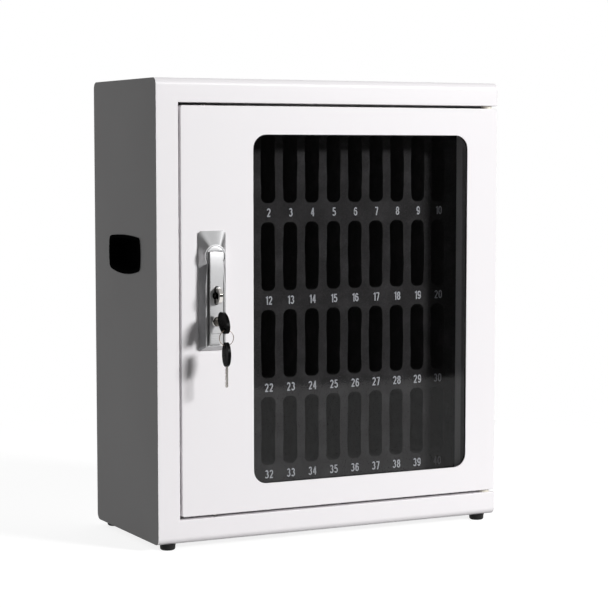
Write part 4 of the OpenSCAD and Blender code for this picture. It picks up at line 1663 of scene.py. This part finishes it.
@dataclass
class Keys:
    """Fitted key, split ring and spare key.

    Each cut of the blade is a depth. The flat of a cut runs between two shares of half the cuts' pitch.
    """

    maker: Maker
    hole: float = 1.7 * MM
    head_points: int = 56
    head_soft: float = 0.9 * MM
    fitted_hole: float = -6.6 * MM
    spare_hole: float = 8.5 * MM
    wire: float = 0.3 * MM
    ring_turns: int = 2
    ring_steps: int = 110
    blade_share: float = 0.62
    blade_tip: float = 1.2 * MM
    blade_soft: float = 0.12 * MM
    cuts_start: float = 2 * MM
    cuts_end: float = 3 * MM
    cut_flat: Point = (0.7, 1.3)
    cuts: tuple[float, ...] = (0.7 * MM, 1.3 * MM, 0.5 * MM, 1.1 * MM, 0.8 * MM, 1.4 * MM)

    def head(self, node: str, name: str, body: Body, lean: float, slim: float, hole_up: float) -> None:
        """One moulded key head with soft edges and a hole.

        Args:
            node: The head's CAD node.
            name: The new piece's name.
            body: The body that it rides on.
            lean: How far the oval leans, from -1 to 1.
            slim: Width in Y as a share of the solid's.
            hole_up: How far the hole lies above the head's middle.
        """
        low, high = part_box(node)
        centre, size = (low + high) / 2, high - low
        rim = [(centre.y + y, centre.z + z)
               for y, z in oval(size.y * slim, size.z, self.head_points, lean)]
        hole_y = middle("key_ring").y
        hole = [(hole_y + y, centre.z + hole_up + z)
                for y, z in oval(2 * self.hole, 2 * self.hole, self.head_points)]
        bm = bmesh.new()
        loft(bm, [[(x, *point) for point in outline] for x, outline in
                  ((low.x, rim), (high.x, rim), (high.x, hole), (low.x, hole))], joined=True)
        face_out(bm)
        self.maker.piece(name, bm, Slot.KEY, body, [node], edge=self.head_soft, segments=4, angle=50.0)

    def blade(self) -> None:
        """Spare key's blade, with the cuts of its lock along one edge."""
        low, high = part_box("spare_blade")
        centre, half = (low.y + high.y) / 2, (high.y - low.y) / 2 * self.blade_share
        step = (high.z - low.z - self.cuts_start - self.cuts_end) / (len(self.cuts) * 2)
        flat_start, flat_end = self.cut_flat
        outline = [(centre - half, high.z), (centre - half, low.z + self.blade_tip), (centre, low.z)]
        for k, cut in enumerate(self.cuts):
            foot = low.z + self.cuts_start + 2 * k * step
            outline += [(centre + half, foot), (centre + half - cut, foot + flat_start * step),
                        (centre + half - cut, foot + flat_end * step)]
        outline.append((centre + half, high.z))
        bm = bmesh.new()
        loft(bm, [[(x, *point) for point in outline] for x in (low.x, high.x)], start=True, end=True)
        face_out(bm)
        self.maker.piece("spare_key_blade", bm, Slot.STEEL, Body.SPARE, ["spare_blade"],
                         edge=self.blade_soft, segments=2)

    def split_ring(self) -> None:
        """Turns of round wire, which climb by the wire's thickness in all."""
        low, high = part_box("key_ring")
        centre = (low + high) / 2
        start = centre + Vector((0, -self.wire, (high.x - low.x) / 2 - 2 * self.wire))
        turn = Matrix.Rotation(math.pi / 2, 4, "Y")
        climb = 2 * self.wire / self.ring_steps
        bm = bmesh.new()
        bmesh.ops.create_circle(bm, segments=10, radius=self.wire, cap_ends=True,
                                matrix=Matrix.Translation(start) @ turn)
        bmesh.ops.spin(bm, geom=bm.faces[:] + bm.edges[:] + bm.verts[:], cent=centre, axis=(0, 1, 0),
                       dvec=(0, climb, 0), angle=2 * math.pi * self.ring_turns, steps=self.ring_steps,
                       use_merge=False)
        face_out(bm)
        self.maker.piece("split_key_ring", bm, Slot.STEEL, Body.RING, ["key_ring"],
                         material=self.maker.palette.bronze)

    def build(self) -> None:
        """Both heads, the spare key's blade and the ring."""
        self.head("key_head", "key_grip", Body.KEY, 0.3, 0.94, self.fitted_hole)
        self.head("spare_head", "spare_key_grip", Body.SPARE, 0.0, 0.74, self.spare_hole)
        self.blade()
        self.split_ring()


@dataclass
class Studio:
    """Camera, light, white table and the dark room in front of it."""

    palette: Palette
    eye: Triple = (-1.0075, -1.97815, 0.4277)
    yaw: float = 26.914
    pitch: float = -4.967
    lens: float = 115.58
    sensor: float = 36.0
    rise_pixels: float = 18.4
    photo_pixels: float = 608.0
    table_front: float = -1.34
    table_back: float = 1.6
    table_side: float = 1.3
    key_target: Triple = (0.0, -0.07, 0.26)
    key_watts: float = 455.0
    key_size: float = 1.2
    key_away: float = 5.0
    key_way: Triple = (0.68, -1.0, 0.44)
    key_droop: float = 52.0
    back_glow: Point = (0.02, 0.75)
    back_span: Point = (-0.2, 0.45)
    top_glow: float = 0.1
    top_span: Point = (0.3, 1.0)
    side_glow: float = 1.25
    side_span: Point = (-0.9, -0.99)
    room_reach: float = 9.0
    room_back: float = 6.0

    def camera(self) -> None:
        """Camera at the photograph's angle."""
        data = bpy.data.cameras.new("lens")
        data.sensor_width = self.sensor
        data.lens = self.lens
        data.shift_y = self.rise_pixels / self.photo_pixels
        made = bpy.data.objects.new("camera", data)
        yaw, pitch = math.radians(self.yaw), math.radians(self.pitch)
        look = Vector((math.sin(yaw) * math.cos(pitch), math.cos(yaw) * math.cos(pitch), math.sin(pitch)))
        made.rotation_mode = "QUATERNION"
        made.location = self.eye
        made.rotation_quaternion = look.to_track_quat("-Z", "Y")
        bpy.context.scene.collection.objects.link(made)
        bpy.context.scene.camera = made

    def world(self) -> None:
        """White to the lens, the glass and the metal; soft light from behind, the left and above."""
        world = bpy.data.worlds.new("room")
        bpy.context.scene.world = world
        world.use_nodes = True
        graph = Graph(world.node_tree)
        way = graph.node("ShaderNodeTexCoord", out="Generated")
        across, along, up = graph.outputs("ShaderNodeSeparateXYZ", ("X", "Y", "Z"), {0: way})
        back = graph.eased(along, *self.back_span, *self.back_glow)
        above = graph.eased(up, *self.top_span, high=self.top_glow)
        left = graph.eased(across, *self.side_span, high=self.side_glow)
        soft = graph.glow(back + above + left, "ShaderNodeBackground")
        white = graph.glow(1.0, "ShaderNodeBackground")
        both = graph.node("ShaderNodeMixShader", None, {0: graph.shown(), 1: soft, 2: white})
        graph.node("ShaderNodeOutputWorld", None, {"Surface": both})

    def table(self) -> None:
        """White table top round the cabinet."""
        bm = bmesh.new()
        bmesh.ops.create_grid(bm, x_segments=1, y_segments=1, size=1.0)
        bmesh.ops.scale(bm, vec=(self.table_side, (self.table_back - self.table_front) / 2, 1.0),
                        verts=bm.verts[:])
        bmesh.ops.translate(bm, vec=(0, (self.table_back + self.table_front) / 2, 0), verts=bm.verts[:])
        made = linked("table_top", bm)
        made.data.materials.append(Table().material("table_white"))

    def room(self) -> None:
        """Dim room ahead of and above the cabinet, which only gloss shows."""
        bm = bmesh.new()
        bmesh.ops.create_uvsphere(bm, u_segments=48, v_segments=24, radius=self.room_reach)
        bmesh.ops.bisect_plane(bm, geom=bm.verts[:] + bm.edges[:] + bm.faces[:], plane_no=(0, 1, 0),
                               plane_co=(0, self.room_back, 0), clear_outer=True)
        made = linked("studio_room", bm)
        made.data.materials.append(Room().material("studio_dim"))
        made.visible_camera = made.visible_diffuse = made.visible_shadow = False
        made.visible_transmission = False

    def lamp(self) -> None:
        """Small soft key light from the right, above the camera."""
        data = bpy.data.lights.new("key", "AREA")
        data.shape = "DISK"
        data.size = self.key_size
        data.energy = self.key_watts
        made = bpy.data.objects.new("key_light", data)
        way = Vector(self.key_way).normalized()
        made.location = Vector(self.key_target) + way * self.key_away
        made.rotation_mode = "QUATERNION"
        aim = (-way).to_track_quat("-Z", "Y")
        made.rotation_quaternion = aim @ Quaternion((1, 0, 0), math.radians(-self.key_droop))
        bpy.context.scene.collection.objects.link(made)

    def build(self) -> None:
        """Everything that isn't part of the cabinet."""
        self.camera()
        self.world()
        self.table()
        self.room()
        self.lamp()


def main() -> None:
    """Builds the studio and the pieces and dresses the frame."""
    logging.basicConfig(level=logging.INFO, format="%(message)s")
    bpy.context.scene.view_settings.view_transform = "Standard"
    palette = Palette()
    maker = Maker(palette)
    palette.dress_frame(frame["record"])
    Studio(palette).build()
    for assembly in (Case(maker), Feet(maker), CarryCup(maker, "carry_cup_left"),
                     CarryCup(maker, "carry_cup_right"), FoamBlock(maker), Door(maker), Handle(maker),
                     Keys(maker)):
        assembly.build()


if __name__ == "__main__":
    main()
